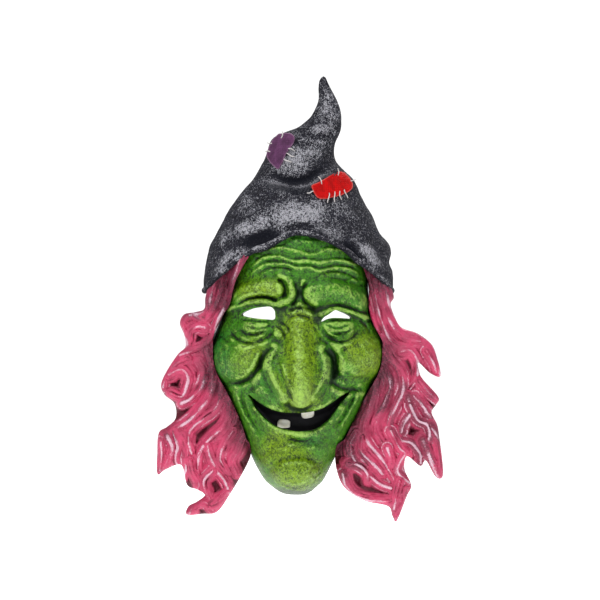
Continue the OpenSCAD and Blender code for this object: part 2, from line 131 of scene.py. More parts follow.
def table_curve(t, table, column):
    """Value of a column at t, on a smooth curve through rows that rise in their first value."""
    rows = np.array(table, float)
    n = len(rows) - 1
    t = np.asarray(t, float)
    i = np.clip(np.searchsorted(rows[:, 0], t, side="right") - 1, 0, n - 1)
    a, b, c, d = rows[np.maximum(i - 1, 0)], rows[i], rows[i + 1], rows[np.minimum(i + 2, n)]
    span = c[..., 0] - b[..., 0]
    f = np.clip((t - b[..., 0]) / span, 0, 1)
    rise_b = (c[..., column] - a[..., column]) / (c[..., 0] - a[..., 0]) * span
    rise_c = (d[..., column] - b[..., column]) / (d[..., 0] - b[..., 0]) * span
    return (
        b[..., column] * (2 * f**3 - 3 * f**2 + 1)
        + rise_b * (f**3 - 2 * f**2 + f)
        + c[..., column] * (3 * f**2 - 2 * f**3)
        + rise_c * (f**3 - f**2)
    )


def smooth_line(points, closed=False, parts=5):
    """A finer line of points on a smooth curve through the given ones."""
    p = np.array(points, float)
    if len(p) < 3 and not closed:
        return p
    if closed:
        p = np.vstack([p[-1], p, p[0], p[1]])
    else:
        p = np.vstack([2 * p[0] - p[1], p, 2 * p[-1] - p[-2]])
    out = []
    for i in range(1, len(p) - 2):
        for t in np.arange(parts) / parts:
            a, b, c, d = p[i - 1 : i + 3]
            bend, twist = 2 * a - 5 * b + 4 * c - d, 3 * b - a - 3 * c + d
            out.append(0.5 * (2 * b + (c - a) * t + bend * t**2 + twist * t**3))
    if not closed:
        out.append(p[-2])
    return np.array(out)


def nearest(x, z, line, closed=False):
    """Distance from each point to a line, the share of the way along it, the side, and the closest point."""
    line = np.array(line, float)
    if closed:
        line = np.vstack([line, line[0]])
    lengths = np.hypot(*(line[1:] - line[:-1]).T)
    total = max(lengths.sum(), 1e-9)
    best = np.full(x.shape, 1e18)
    share, side = np.zeros(x.shape), np.ones(x.shape)
    cx, cz = np.zeros(x.shape), np.zeros(x.shape)
    done = 0.0
    for p, q, l in zip(line[:-1], line[1:], lengths):
        if l < 1e-9:
            continue
        d = (q - p) / l
        t = np.clip((x - p[0]) * d[0] + (z - p[1]) * d[1], 0, l)
        nx, nz = p[0] + t * d[0], p[1] + t * d[1]
        dist = (x - nx) ** 2 + (z - nz) ** 2
        m = dist < best
        best[m] = dist[m]
        share[m] = (done + t[m]) / total
        side[m] = np.sign(d[0] * (z - p[1]) - d[1] * (x - p[0]))[m]
        cx[m], cz[m] = nx[m], nz[m]
        done += l
    return np.sqrt(best), share, side, cx, cz


def inside(x, z, outline):
    """True for each point within a closed outline."""
    p = np.array(outline, float)
    hit = np.zeros(x.shape, bool)
    for (x0, z0), (x1, z1) in zip(p, np.roll(p, -1, 0)):
        if z0 == z1:
            continue
        crosses = (z0 > z) != (z1 > z)
        hit ^= crosses & (x < (x1 - x0) * (z - z0) / (z1 - z0) + x0)
    return hit


def lattice(i, j, k, seed):
    """The same value from -1 to 1 each time for a whole-number point and a seed."""
    n = (i * 374761393 + j * 668265263 + k * 2147483647 + seed * 974634777) & 0xFFFFFFFF
    n = ((n ^ (n >> 13)) * 1274126177) & 0xFFFFFFFF
    return ((n ^ (n >> 16)) & 0xFFFF) / 32767.5 - 1.0


def lumps(x, y, z, size, seed=1, octaves=3):
    """Smooth noise from -1 to 1, with lumps of about the given size."""
    total, weight, out = 0.0, 1.0, np.zeros(np.broadcast(x, y, z).shape)
    # Turned off the axes, so that no row of cells lines up with the mask
    x, y, z = 0.8 * x + 0.36 * y - 0.48 * z + 313.7, 0.48 * y - 0.6 * x - 0.64 * z + 207.1, 0.8 * y + 0.6 * z + 529.3
    for o in range(octaves):
        p = [np.asarray(v, float) / size for v in (x, y, z)]
        cell = [np.floor(v).astype(np.int64) for v in p]
        f = [v - c for v, c in zip(p, cell)]
        f = [v * v * (3 - 2 * v) for v in f]
        value = 0.0
        for a in (0, 1):
            for b in (0, 1):
                for c in (0, 1):
                    w = (f[0] if a else 1 - f[0]) * (f[1] if b else 1 - f[1]) * (f[2] if c else 1 - f[2])
                    value = value + w * lattice(cell[0] + a, cell[1] + b, cell[2] + c, seed + 17 * o)
        out += weight * value
        total += weight
        weight *= 0.5
        size *= 0.5
    return out / total


def smooth_step(v, low, high):
    """Rises smoothly from 0 to 1 as v goes from low to high."""
    t = np.clip((v - low) / (high - low), 0, 1)
    return t * t * (3 - 2 * t)


def soft_max(a, b, k):
    """The larger of two heights, with a rounded valley where they meet."""
    return 0.5 * (a + b + np.sqrt((a - b) ** 2 + k * k))


# ---------------------------------------------------------------- modelling strokes


def fade(share, ends):
    """1 along a stroke, falling to 0 over the given share of it at each end."""
    return smooth_step(share, 0, ends) * smooth_step(1 - share, 0, ends)


def add_mound(h, x, z, line, radius, height, k):
    """Joins a rounded mound along a line to the heights h. Radius and height may change along it."""
    r0, r1 = np.broadcast_to(radius, 2)
    h0, h1 = np.broadcast_to(height, 2)
    d, t, _, _, _ = nearest(x, z, smooth_line(line))
    r, top = r0 + (r1 - r0) * t, h0 + (h1 - h0) * t
    return soft_max(h, top * (1 - (d / r) ** 2), k)


def stroke(x, z, line, width, height, kind, ends):
    """Height added along a line. A crease has plump lips, and a fold is steep on its right side only."""
    line = smooth_line(line)
    reach = 5 * width + 2
    near = (
        (x > line[:, 0].min() - reach)
        & (x < line[:, 0].max() + reach)
        & (z > line[:, 1].min() - reach)
        & (z < line[:, 1].max() + reach)
    )
    out = np.zeros(x.shape)
    if not near.any():
        return out
    d, t, side, _, _ = nearest(x[near], z[near], line)
    if kind == "crease":
        v = -np.exp(-((d / width) ** 1.4)) + 0.38 * np.exp(-(((d - 2.3 * width) / (1.1 * width)) ** 2))
    elif kind == "fold":
        s = d * side
        v = np.where(s > 0, np.exp(-((s / width) ** 2)), np.exp(-((s / (0.32 * width)) ** 2)))
        v = v - 0.55 * np.exp(-(((s + 0.75 * width) / (0.35 * width)) ** 2))
    else:
        v = np.exp(-((d / width) ** 2))
    out[near] = height * v * fade(t, ends)
    return out


def near_lines(x, z, table):
    """One set of values for each line of a table: its amount, faded out over its width."""
    return [amount * np.exp(-((nearest(x, z, line)[0] / width) ** 2)) for line, width, amount in table]


# ---------------------------------------------------------------- grids and skins


def blur(g, cells, times=2):
    """Evens a grid out over a number of cells each way."""
    g = g.astype(float)
    for _ in range(times):
        for axis in (0, 1):
            p = np.pad(g, [(cells, cells) if a == axis else (0, 0) for a in (0, 1)], mode="edge")
            c = np.cumsum(p, axis=axis)
            c = np.insert(c, 0, 0, axis=axis)
            w = 2 * cells + 1
            g = (np.take(c, np.arange(w, c.shape[axis]), axis) - np.take(c, np.arange(c.shape[axis] - w), axis)) / w
    return g


def rearmost(g, cells):
    """The largest value within a number of cells each way."""
    out = g.copy()
    for axis in (0, 1):
        p = np.pad(out, [(cells, cells) if a == axis else (0, 0) for a in (0, 1)], mode="edge")
        out = np.max([np.take(p, np.arange(s, s + g.shape[axis]), axis) for s in range(2 * cells + 1)], axis=0)
    return out


def grid_quads(rows, cols, wrap=False):
    """Quads of a grid whose rows run down and whose columns run right, seen from outside."""
    r, c = np.meshgrid(np.arange(rows - 1), np.arange(cols - (0 if wrap else 1)), indexing="ij")
    a, b = r * cols + c, r * cols + (c + 1) % cols
    return np.stack([a, a + cols, b + cols, b], -1).reshape(-1, 4)


def cut_grid(x, z, step, outlines, keep_inside=False):
    """Fits a grid to cut outlines: points by an outline move onto it, and quads beyond it are dropped.
    Returns the moved x and z, and which quads stay."""
    rows, cols = x.shape
    quads = grid_quads(rows, cols)
    gone = np.zeros(x.shape, bool)
    move = []
    for outline in outlines:
        d, _, _, cx, cz = nearest(x, z, outline, closed=True)
        within = inside(x, z, outline)
        out = ~within if keep_inside else within
        gone |= out & (d > 0.5 * step)
        move.append((d, cx, cz))
    lost = gone.ravel()
    stay = ~lost[quads].any(1)
    edge = np.zeros(x.size, bool)
    edge[quads[~stay].ravel()] = True
    edge &= ~lost
    edge = edge.reshape(x.shape)
    x, z = x.copy(), z.copy()
    best = np.argmin([m[0] for m in move], axis=0)
    for n, (d, cx, cz) in enumerate(move):
        m = edge & (best == n) & (d < 2.5 * step)
        x[m], z[m] = cx[m], cz[m]
    return x, z, quads[stay]


def outline_grid(line, step):
    """A grid of points within a closed outline, its quads, and each point's distance from the outline."""
    xs = np.arange(line[:, 0].min() - 2, line[:, 0].max() + 2, step)
    zs = np.arange(line[:, 1].max() + 2, line[:, 1].min() - 2, -step)
    x, z = np.meshgrid(xs, zs)
    x, z, quads = cut_grid(x, z, step, [line], keep_inside=True)
    return x, z, quads, nearest(x, z, line, True)[0]


def write_mark(mesh, name, values):
    """Keeps one painted value per point, which the materials read by its name."""
    mesh.attributes.new(name, "FLOAT", "POINT").data.foreach_set("value", np.asarray(values, np.float32))


def new_object(name, points, faces):
    mesh = bpy.data.meshes.new(name)
    mesh.from_pydata(points, [], faces)
    mesh.validate()
    piece = bpy.data.objects.new(name, mesh)
    bpy.context.scene.collection.objects.link(piece)
    return piece


def skin(name, outer, inner, quads, marks=None, caps=()):
    """A closed skin between an outer and an inner set of points, with a wall along every open edge.
    marks are painted values, one per point, and caps are faces that close the outer side's ends."""
    outer, inner = outer.reshape(-1, 3), inner.reshape(-1, 3)
    used = np.zeros(len(outer), bool)
    used[quads.ravel()] = True
    number = np.cumsum(used) - 1
    quads = number[quads]
    outer, inner = outer[used], inner[used]
    n = len(outer)
    edges = np.concatenate([quads[:, [i, (i + 1) % 4]] for i in range(4)])
    for cap in caps:
        cap = number[np.array(cap)]
        edges = np.concatenate([edges, np.stack([cap, np.roll(cap, -1)], 1)])
    codes = edges[:, 0] * n + edges[:, 1]
    back = edges[:, 1] * n + edges[:, 0]
    rim = edges[~np.isin(codes, back)]
    walls = np.stack([rim[:, 1], rim[:, 0], rim[:, 0] + n, rim[:, 1] + n], 1)
    faces = np.concatenate([quads, quads[:, ::-1] + n, walls]).tolist()
    for cap in caps:
        cap = number[np.array(cap)]
        faces += [cap.tolist(), (cap[::-1] + n).tolist()]
    piece = new_object(name, np.concatenate([outer, inner]) * MM, faces)
    mesh = piece.data
    kind = np.zeros(len(mesh.polygons), np.int32)
    kind[len(quads) : 2 * len(quads)] = 1
    kind[2 * len(quads) + len(walls) + 1 :: 2] = 1
    mesh.attributes.new("material_index", "INT", "FACE").data.foreach_set("value", kind)
    for mark, values in (marks or {}).items():
        v = np.asarray(values, np.float32).ravel()[used]
        write_mark(mesh, mark, np.concatenate([v, np.full_like(v, INSIDE_DEEP if mark == "deep" else 0)]))
    shade(piece, 55)
    return piece


def alone(piece):
    """Makes a piece the only selected and the active one."""
    for o in bpy.context.view_layer.objects:
        o.select_set(False)
    piece.select_set(True)
    bpy.context.view_layer.objects.active = piece


def shade(piece, angle):
    alone(piece)
    bpy.ops.object.shade_smooth_by_angle(angle=math.radians(angle))


def dress(piece, *materials):
    """Fills a piece's material slots in order, and leaves its faces' slot numbers alone."""
    own = piece.data.materials
    for i, m in enumerate(materials):
        if i < len(own):
            own[i] = m
        else:
            own.append(m)


def finish_piece(piece, body, nodes):
    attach(piece, body)
    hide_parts(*nodes)


# ---------------------------------------------------------------- materials


class Paint:
    """Builds one procedural material."""

    def __init__(self, name, roughness=0.5, metallic=0.0, specular=0.5):
        self.material = bpy.data.materials.new(name)
        self.material.use_nodes = True
        self.tree = self.material.node_tree
        self.shader = self.tree.nodes["Principled BSDF"]
        self.shader.inputs["Roughness"].default_value = roughness
        self.shader.inputs["Metallic"].default_value = metallic
        self.shader.inputs["Specular IOR Level"].default_value = specular
        self.coords = self.tree.nodes.new("ShaderNodeTexCoord").outputs["Object"]
        # Noise is turned off the axes, so that its cells don't line up with the mask
        self.turned = self.node(
            "ShaderNodeMapping", Vector=self.coords, Location=(0.31, 0.47, 0.73), Rotation=(0.5, 0.4, 0.8)
        ).outputs[0]

    def node(self, kind, **values):
        n = self.tree.nodes.new(kind)
        for key, value in values.items():
            if hasattr(n, key):
                setattr(n, key, value)
            else:
                self.join(value, n.inputs[key])
        return n

    def join(self, value, socket):
        if isinstance(value, bpy.types.NodeSocket):
            self.tree.links.new(value, socket)
        elif socket.type == "RGBA":
            socket.default_value = (*value, 1.0)
        else:
            socket.default_value = value

    def noise(self, size, detail=4.0, rough=0.55, warp=0.0):
        """Noise whose lumps are about size millimetres across."""
        scale = 1 / (size * MM)
        n = self.node(
            "ShaderNodeTexNoise", Vector=self.turned, Scale=scale, Detail=detail, Roughness=rough, Distortion=warp
        )
        return n.outputs["Fac"]

    def mark(self, name):
        return self.node("ShaderNodeAttribute", attribute_name=name).outputs["Fac"]

    def math(self, kind, a, b=0.0):
        n = self.tree.nodes.new("ShaderNodeMath")
        n.operation = kind
        for value, socket in zip((a, b), n.inputs):
            self.join(value, socket)
        return n.outputs[0]

    def times(self, a, b):
        return self.math("MULTIPLY", a, b)

    def plus(self, a, b, share=1.0):
        """a with a share of b added."""
        return self.math("ADD", a, b if share == 1.0 else self.times(b, share))

    def between(self, value, low, high, to_low=0.0, to_high=1.0):
        """Rises smoothly from to_low to to_high as value goes from low to high."""
        n = self.node("ShaderNodeMapRange", interpolation_type="SMOOTHSTEP")
        sockets = ("Value", "From Min", "From Max", "To Min", "To Max")
        for socket, v in zip(sockets, (value, low, high, to_low, to_high)):
            self.join(v, n.inputs[socket])
        return n.outputs[0]

    def mix(self, share, a, b):
        n = self.tree.nodes.new("ShaderNodeMix")
        n.data_type = "RGBA"
        self.join(share, n.inputs["Factor"])
        self.join(a, n.inputs[MIX_A])
        self.join(b, n.inputs[MIX_B])
        return n.outputs[MIX_RESULT]

    def finish(self, colour, rough=None, height=None, depth=0.3, strength=1.0):
        """Joins up the shader. height is the bump's pattern, and depth is in millimetres."""
        self.join(colour, self.shader.inputs["Base Color"])
        if rough is not None:
            self.join(rough, self.shader.inputs["Roughness"])
        if height is not None:
            bump = self.node("ShaderNodeBump", Height=height, Distance=depth * MM, Strength=strength)
            self.join(bump.outputs[0], self.shader.inputs["Normal"])
        return self.material


def colours():
    return bpy.context.scene.witch_mask_colours


def sizes():
    return bpy.context.scene.witch_mask_sizes


def tone(name, share=1.0):
    """One of the mask's colours, or a darker or paler share of it."""
    return tuple(share * c for c in getattr(colours(), name))


def face_paint():
    """Mottled green with dark speckles and creases, painted shade from the deep mark, and pale dry brushing on the
    crests.
    """
    p = Paint("face_paint", specular=0.4)
    deep, high, warm, cool = (p.mark(m) for m in ("deep", "high", "warm", "cool"))
    broad, fine = p.noise(14, 3), p.noise(2.6, 6, 0.65)
    specks = p.noise(2.5, 5, 0.8, warp=0.9)
    streaks = p.noise(4.6, 6, 0.75, warp=1.2)
    mottle = p.noise(3.2, 6, 0.8, warp=1.4)
    dabs = p.noise(1.9, 5, 0.8, warp=1.1)
    base = p.mix(p.between(p.plus(warm, broad, 0.9), 0.4, 1.2), tone("green"), tone("olive"))
    base = p.mix(p.times(cool, p.between(broad, 0.3, 0.6)), base, tone("cool"))
    base = p.mix(p.between(mottle, 0.45, 0.61, 0.0, 0.84), base, tone("green", 0.22))
    base = p.mix(p.between(p.plus(high, dabs, 2.6), 1.6, 2.1, 0.0, 0.72), base, tone("pale"))
    grime = p.between(p.plus(specks, streaks, 0.7), 0.84, 0.94)
    grime = p.times(grime, p.between(p.plus(deep, broad), 0.25, 0.85, 0.3, 0.97))
    base = p.mix(grime, base, tone("wash_and_shade"))
    # Dark paint in the hollows, and painted shade in the corners, by the hair, under the hat and under the chin
    base = p.mix(p.between(p.plus(deep, fine, 0.5), 0.4, 1.3, 0.0, 0.96), base, tone("wash_and_shade"))
    return p.finish(base, p.between(fine, 0.3, 0.7, 0.36, 0.55), p.plus(fine, specks, 0.6), 0.55)


def raw_latex():
    """The unpainted inside of the face."""
    p = Paint("raw_latex")
    broad, fine = p.noise(22, 4), p.noise(1.6, 4)
    colour = p.mix(p.between(broad, 0.3, 0.7), tone("latex"), tone("latex", 0.72))
    return p.finish(colour, p.between(fine, 0.3, 0.7, 0.5, 0.72), p.plus(fine, broad, 2.0), 0.3, 0.6)


def hat_paint():
    """Charcoal over a coarse weave, with specks of silver dry brushing, darker in the hollows and with painted shade
    under the folds.
    """
    p = Paint("hat_paint", specular=0.25)
    high, deep = p.mark("high"), p.mark("deep")
    turn = math.pi / (sizes().weave / MM)
    rag = p.noise(5.5, 5, 0.75, warp=0.8)
    broad = p.noise(17, 4, 0.6, warp=0.4)
    grain = p.noise(0.7, 3, 0.7)
    dabs = p.noise(1.9, 4, 0.85, warp=0.6)
    drift = p.times(p.math("SUBTRACT", p.noise(9, 3), 0.5), 2.2)
    u, v = (p.math("SINE", p.times(p.plus(p.mark(m), drift), turn)) for m in ("around", "up"))
    over = p.between(p.times(u, v), -0.15, 0.15)
    u, v = p.math("ABSOLUTE", u), p.math("ABSOLUTE", v)
    cloth = p.plus(p.times(over, u), p.times(p.math("SUBTRACT", 1.0, over), v))
    cloth = p.plus(p.times(cloth, 0.4), grain, 1.4)
    where = p.between(p.plus(high, broad), 0.45, 1.6, 0.0, 0.36)
    speckle = p.plus(p.times(cloth, 0.5), dabs, 2.2)
    brush = p.between(p.plus(speckle, where), 1.70, 2.0, 0.0, 0.84)
    base = p.mix(p.between(rag, 0.35, 0.7), tone("hat"), tone("hat", 2.2))
    base = p.mix(brush, base, tone("silver"))
    # Darker in the hollows, and painted shade under the folds, from the deep mark
    base = p.mix(p.between(deep, 0.1, 0.9, 0.0, 0.9), base, (0.003, 0.004, 0.010))
    return p.finish(base, p.between(brush, 0.0, 1.0, 0.8, 0.5), cloth, 0.8)


def hair_paint():
    """Pink with crimson grooves, grey smoky patches, painted shade under the hat and along the face, and silver-pink
    crests.
    """
    p = Paint("hair_paint")
    deep, high, smoke = p.mark("deep"), p.mark("high"), p.mark("smoke")
    broad = p.noise(12, 3)
    fine = p.noise(1.3, 5, 0.7, warp=0.5)
    dabs = p.noise(1.5, 4, 0.8)
    base = p.mix(p.between(broad, 0.35, 0.7), tone("pink"), tone("pink", 0.72))
    base = p.mix(p.between(p.plus(deep, fine, 0.3), 0.22, 0.9, 0.0, 0.97), base, tone("crimson"))
    # Grey smoky patches, and painted shade under the hat and along the face
    base = p.mix(p.times(smoke, p.between(fine, 0.3, 0.6, 0.35, 0.9)), base, tone("smoke"))
    base = p.mix(p.between(p.plus(high, dabs, 1.6), 1.05, 1.8, 0.0, 0.85), base, tone("blush"))
    return p.finish(base, p.between(fine, 0.3, 0.7, 0.46, 0.62), fine, 0.6, 0.8)


# ---------------------------------------------------------------- the face

# Height, half width and depth of the plain face, in millimetres
FACE = [
    (-163.5, 4, 0.5), (-162.5, 9, 14), (-160, 14.5, 29), (-156, 19.5, 42), (-150, 26, 52), (-138, 33, 57.5),
    (-118, 42.5, 59), (-94, 53, 59), (-70, 65, 60), (-52, 75, 62), (-36, 78, 62), (-24, 76.5, 62), (-2.5, 68, 62),
    (15, 64, 62), (45, 64, 61), (67, 61, 57), (92, 55.5, 49.5),
]
# Sideways lean of the chin
LEAN = [(-162, -2), (-150, -3), (-130, -3.5), (-105, -1), (-80, 0), (92, 0)]
# The nose's crest: height, middle, half width and how far it stands out
NOSE = [
    (-92, 3, 6, -6), (-86, 3, 6, -1), (-83, 3, 6.5, 10), (-80.5, 3, 7.8, 29), (-77.5, 3, 9.8, 36),
    (-71, 3, 13, 37.8), (-60, 3, 16.5, 34), (-50, 2.5, 18, 28.5), (-38, 2, 17.5, 21.5), (-25, 2, 15, 14),
    (-12, 1.5, 12.5, 8.5), (0, 1.5, 11, 4.5), (9, 2, 9, 1), (16, 2, 7, -3),
]
# The broad foot that joins the crest to the wings, with the same columns
NOSE_FOOT = [
    (-90, 3, 7, -4), (-84, 3, 9, 4), (-79, 3, 12, 22), (-74, 2.5, 15, 26), (-66, 2, 20, 28), (-56, 1.5, 25, 25.5),
    (-46, 1.5, 28.5, 20.5), (-38, 1, 28, 13.5), (-30, 1.5, 24, 8.5), (-22, 2, 19, 5), (-10, 2, 15, 2),
    (0, 2, 12, -2),
]
LEFT_EYE = [
    (-50, -1), (-41.6, 3.6), (-33, 5.3), (-24, 5.8), (-20.4, 3), (-19.6, 0), (-20.3, -5.2), (-28.6, -5.2),
    (-42.8, -3.7),
]
RIGHT_EYE = [
    (21, -7.6), (23, -3.7), (27.6, -0.8), (33.5, 2.9), (39.3, 1.1), (43.7, -0.8), (47, -2.8), (48.3, -4.7),
    (43.7, -4.5), (33.5, -4), (27, -5),
]
MOUTH = [
    (-45, -70), (-37.6, -76), (-28, -82), (-15, -86.4), (-2.5, -87.4), (7, -87), (15.4, -85.3), (24.4, -82),
    (33.3, -76.7), (40, -71.7), (46.5, -69.5), (42.3, -75), (37, -81), (29.6, -91.6), (22, -98.3), (14.6, -102),
    (7, -103.2), (-4, -103), (-17.5, -99.8), (-26.4, -94.6), (-36, -85), (-41, -76.5),
]
# The edge of the lining behind the mouth
LINING = [
    (-54, -67), (-46, -62), (-37, -67.5), (-28, -73.5), (-15, -78), (0, -79), (15, -77.5), (25, -73.5), (34, -67.5),
    (43, -62.5), (53, -64), (55, -70), (49, -79), (43, -88), (36, -98), (26, -106.5), (14, -111), (0, -112),
    (-12, -111), (-23, -107), (-34, -100), (-43, -89), (-50, -78),
]
# Each tooth: name, middle, height, 1 if it hangs or -1 if it stands, length
TEETH = (("upper_tooth", 9.0, -87.4, 1, 10.4), ("lower_tooth", -12.0, -97.2, -1, 7.6))
# Rounded masses: line, radius, height. Two values change along the line
FACE_MOUNDS = [
    ([(-20, 52), (25, 52)], 34, 3.0),
    ([(-58, 12), (-45, 19), (-30, 24), (-17, 22)], (9, 10), (6, 9)),
    ([(16, 17), (28, 20), (44, 17), (57, 11)], (12.5, 11.5), (10, 9)),
    ([(-64, -43), (-48, -38)], (21, 20), (13, 13)),
    ([(-44, -32), (-32, -25)], (15, 10), (9, 6)),
    ([(50, -42), (62, -38)], (19, 21), (13, 14)),
    ([(38, -30), (46, -28)], 12, 7),
    ([(-41, -13), (-32, -12)], (10, 9.5), 6),
    ([(28, -13), (44, -13)], 9.5, 6.5),
    ([(-33, -56), (-28, -66), (-18, -75)], (10, 15), (8, 13)),
    ([(34, -66), (28, -68), (18, -77)], (11, 14), (7, 12)),
    ([(-34, -84), (-26, -97), (-14, -105), (0, -108), (14, -107), (28, -98), (37, -85)], 6.5, 4),
    ([(-57, -66), (-53, -84), (-44, -102), (-30, -117)], (6, 8), (5, 4)),
    ([(56, -67), (54, -78), (45, -93), (35, -107)], (6, 8), (5, 4)),
    ([(-6, -140), (2, -141)], 19, 13),
    ([(-22, -128), (-10, -120)], 12, 5),
    ([(16, -124), (24, -118)], 11, 4),
]
# The same, for the masses that are laid over the nose's form
NOSE_MOUNDS = [
    ([(-20, -32), (-24, -40), (-23, -50), (-18, -61), (-11, -72)], (9, 10), (11.5, 24)),
    ([(21, -33), (25, -40), (24, -50), (19, -61), (12, -72)], (8.5, 10), (12.5, 24)),
    ([(-16, 33), (-8, 30), (-4, 21), (-6.5, 12.5), (-15, 9)], 5, (6, 8.5)),
    ([(-61, 4), (-46, 10), (-30, 11), (-17, 7.5)], 3.6, 5.5),
    ([(20, -1), (33, 5), (47, 2), (61, -4)], 3.2, 5.5),
    ([(-18, -17), (-16, -19)], 6, 6),
    ([(16, -14), (18, -20)], 5, 5),
]
# Line, width, depth of each crease
FACE_CREASES = [
    ([(-4, 30), (-0.6, 21), (-1.3, 12.5), (-7, 5)], 1.9, 4.2),
    ([(-19, 30), (-13.6, 27), (-11, 21), (-13, 13.5)], 1.7, 4.0),
    ([(10.5, 29), (4.4, 21), (5, 12), (13, 4), (20, 0.5)], 1.9, 4.2),
    ([(1.6, 33), (1.7, 16), (1.4, 6)], 1.9, 2.8),
    ([(-57, 5), (-43, 12.5), (-27, 13.5), (-14, 9)], 1.4, 3.2),
    ([(-60, 10), (-61.5, 20), (-57, 30)], 2.0, 2.2),
    ([(20, 1), (33, 6.5), (47, 4), (61, -1)], 1.4, 2.4),
    ([(-61, -9), (-57, -19), (-45, -26), (-29, -22.5), (-17.5, -13)], 1.5, 2.6),
    ([(-54, -12), (-41, -19), (-25, -15)], 1.0, 1.5),
    ([(-48, -10), (-34, -13.5), (-21, -10)], 0.9, 1.3),
    ([(-50, -15), (-40, -23), (-26, -19)], 0.8, 0.9),
    ([(20, -11), (27.5, -21), (38, -25), (49, -21), (54.5, -12)], 1.5, 2.8),
    ([(22, -12.5), (31, -17.5), (42, -17), (51, -11)], 1.0, 1.5),
    ([(24, -10), (35, -13), (47, -10)], 0.9, 1.3),
    ([(22, -14), (30, -20.5), (40, -21.5), (50, -16)], 0.8, 1.0),
    ([(21, -7.5), (34, -6), (50, -6)], 0.9, 1.8),
    ([(-53, -5), (-40, -6.5), (-22, -7.5)], 0.9, 1.4),
    ([(-9, 2), (2, 5.5), (13, 2.5)], 1.2, 2.0),
    ([(-10.5, -4.5), (2, -1.8), (14, -5.5)], 1.2, 1.8),
    ([(-16, -7), (-9, -12), (-8, -18)], 1.1, 1.8),
    ([(-20, -10), (-13, -16), (-11, -24)], 1.1, 1.6),
    ([(13, -10), (18, -17), (21, -25)], 1.2, 1.8),
    ([(54, -5), (62, -13), (64, -21)], 1.1, 1.6),
    ([(57, -3), (66, -8)], 1.0, 1.2),
    ([(-15, -30), (-24, -31.5), (-31, -40), (-36.5, -51), (-46, -59), (-60, -64)], 1.9, 3.6),
    ([(-29, -44), (-24, -58), (-17, -69), (-11, -79)], 1.3, 1.3),
    ([(-16.5, -39), (-14.5, -49), (-10, -61), (-5.5, -72), (-2, -79)], 1.3, 1.9),
    ([(27, -52), (22.5, -62), (17, -71), (12, -80)], 1.4, 1.6),
    ([(21, -29.5), (30, -38), (32, -49), (30, -58)], 3.2, 6.0),
    ([(28, -58), (38, -65), (49, -67.5), (63, -65)], 2.3, 3.6),
    ([(-50, -67), (-48.5, -79), (-42, -93), (-33, -106)], 1.4, 2.2),
    ([(51, -67), (48.5, -77), (41, -90), (33, -102)], 1.4, 2.2),
    ([(-60, -70), (-56, -86), (-47, -105)], 1.2, 1.2),
    ([(-12, -109), (4, -112), (18, -109)], 2.6, 3.0),
    ([(-24, -113), (-4, -118), (18, -114)], 1.5, 1.0),
    ([(-20, -131), (-8, -127), (8, -127), (20, -133)], 1.6, 1.2),
    ([(12, -137), (17, -135), (20, -140), (15, -144), (11, -140)], 0.9, 1.1),
    ([(-12, -150), (-2, -153), (9, -150)], 1.4, 1.0),
    ([(-30, -60), (-38, -66), (-44, -68)], 1.1, 1.2),
    ([(-40, -50), (-52, -56)], 1.2, 0.9),
    ([(38, -50), (52, -57), (64, -56)], 1.2, 1.0),
    ([(-70, -20), (-60, -26), (-48, -27)], 1.2, 0.9),
    ([(-8, -88), (-12, -84), (-18, -80)], 1.0, 1.0),
    ([(-33, -72), (-36, -76)], 0.9, 0.8),
    ([(30, -72), (34, -75)], 0.9, 0.8),
]
# Skin folds, plump on the upper side: line, width, height. The cast shows a share of the height
FOLD_SHARE = 0.78
FACE_FOLDS = [
    ([(52, 50), (40, 55.5), (26, 56.5), (12, 52), (0, 55), (-14, 58), (-30, 56)], 2.9, 1.5),
    ([(58, 38), (48, 44.5), (34, 47), (20, 45), (8, 46.5), (-4, 46), (-16, 50), (-28, 49.5), (-37, 43.5),
      (-43, 35)], 3.0, 2.2),
    ([(58, 31.5), (48, 38.5), (34, 40.5), (20, 37.5), (10, 40.5), (0, 40), (-12, 43.5), (-27, 43.5), (-38, 37.5),
      (-45, 29)], 2.8, 2.4),
    ([(55, 26), (44, 33), (30, 35), (17, 31)], 2.5, 2.0),
    ([(-3, 35), (-12, 38), (-24, 38), (-36, 32)], 2.5, 1.9),
    ([(46, 62), (28, 66), (8, 63), (-12, 67), (-28, 64)], 3.0, 1.0),
    ([(60, 28), (50, 30), (42, 28)], 2.2, 1.2),
]


# Colour painted along lines: line, width, amount. First painted shade in the eye corners, beside the nose and at the
# hairline under the hat's hem
FACE_PAINTED_SHADE = (
    ([(-17, 3), (-15, -6)], 5, 0.9), ([(19, 2), (17, -6)], 5, 0.9), ([(29, -38), (30, -56)], 7, 0.8),
    ([(-24, -34), (-34, -48)], 4, 0.5), ([(1.5, 30), (1.5, 8)], 5, 0.5), ([(-54, -1), (-62, -4)], 4, 0.6),
    ([(52, -5), (60, -6)], 4, 0.5), ([(-30, 72), (5, 78), (40, 70)], 10, 0.6), ([(-10, 2), (14, 2)], 4, 0.4),
)
FACE_WARM = (
    ([(2, -10), (3, -75)], 15, 1.0), ([(-12, -118), (0, -140)], 20, 0.9), ([(-46, 18), (-20, 22)], 10, 0.7),
    ([(-50, -44), (-38, -30)], 14, 0.55), ([(56, -32), (64, -44)], 15, 0.9), ([(-20, -55), (-8, -74)], 6, 0.6),
)
FACE_COOL = (
    ([(-72, -22), (-66, -52)], 12, 0.9), ([(2, -109), (12, -111)], 8, 0.8), ([(60, 20), (62, 0)], 9, 0.5),
    ([(-20, 70), (30, 72)], 12, 0.5), ([(-30, -62), (-20, -70)], 12, 0.35),
)


def face_half(z):
    """Half of the face's width at height z."""
    return table_curve(z, FACE, 1)


def face_lean(z):
    """How far the face's middle is off the axis at height z."""
    return table_curve(z, LEAN, 1)


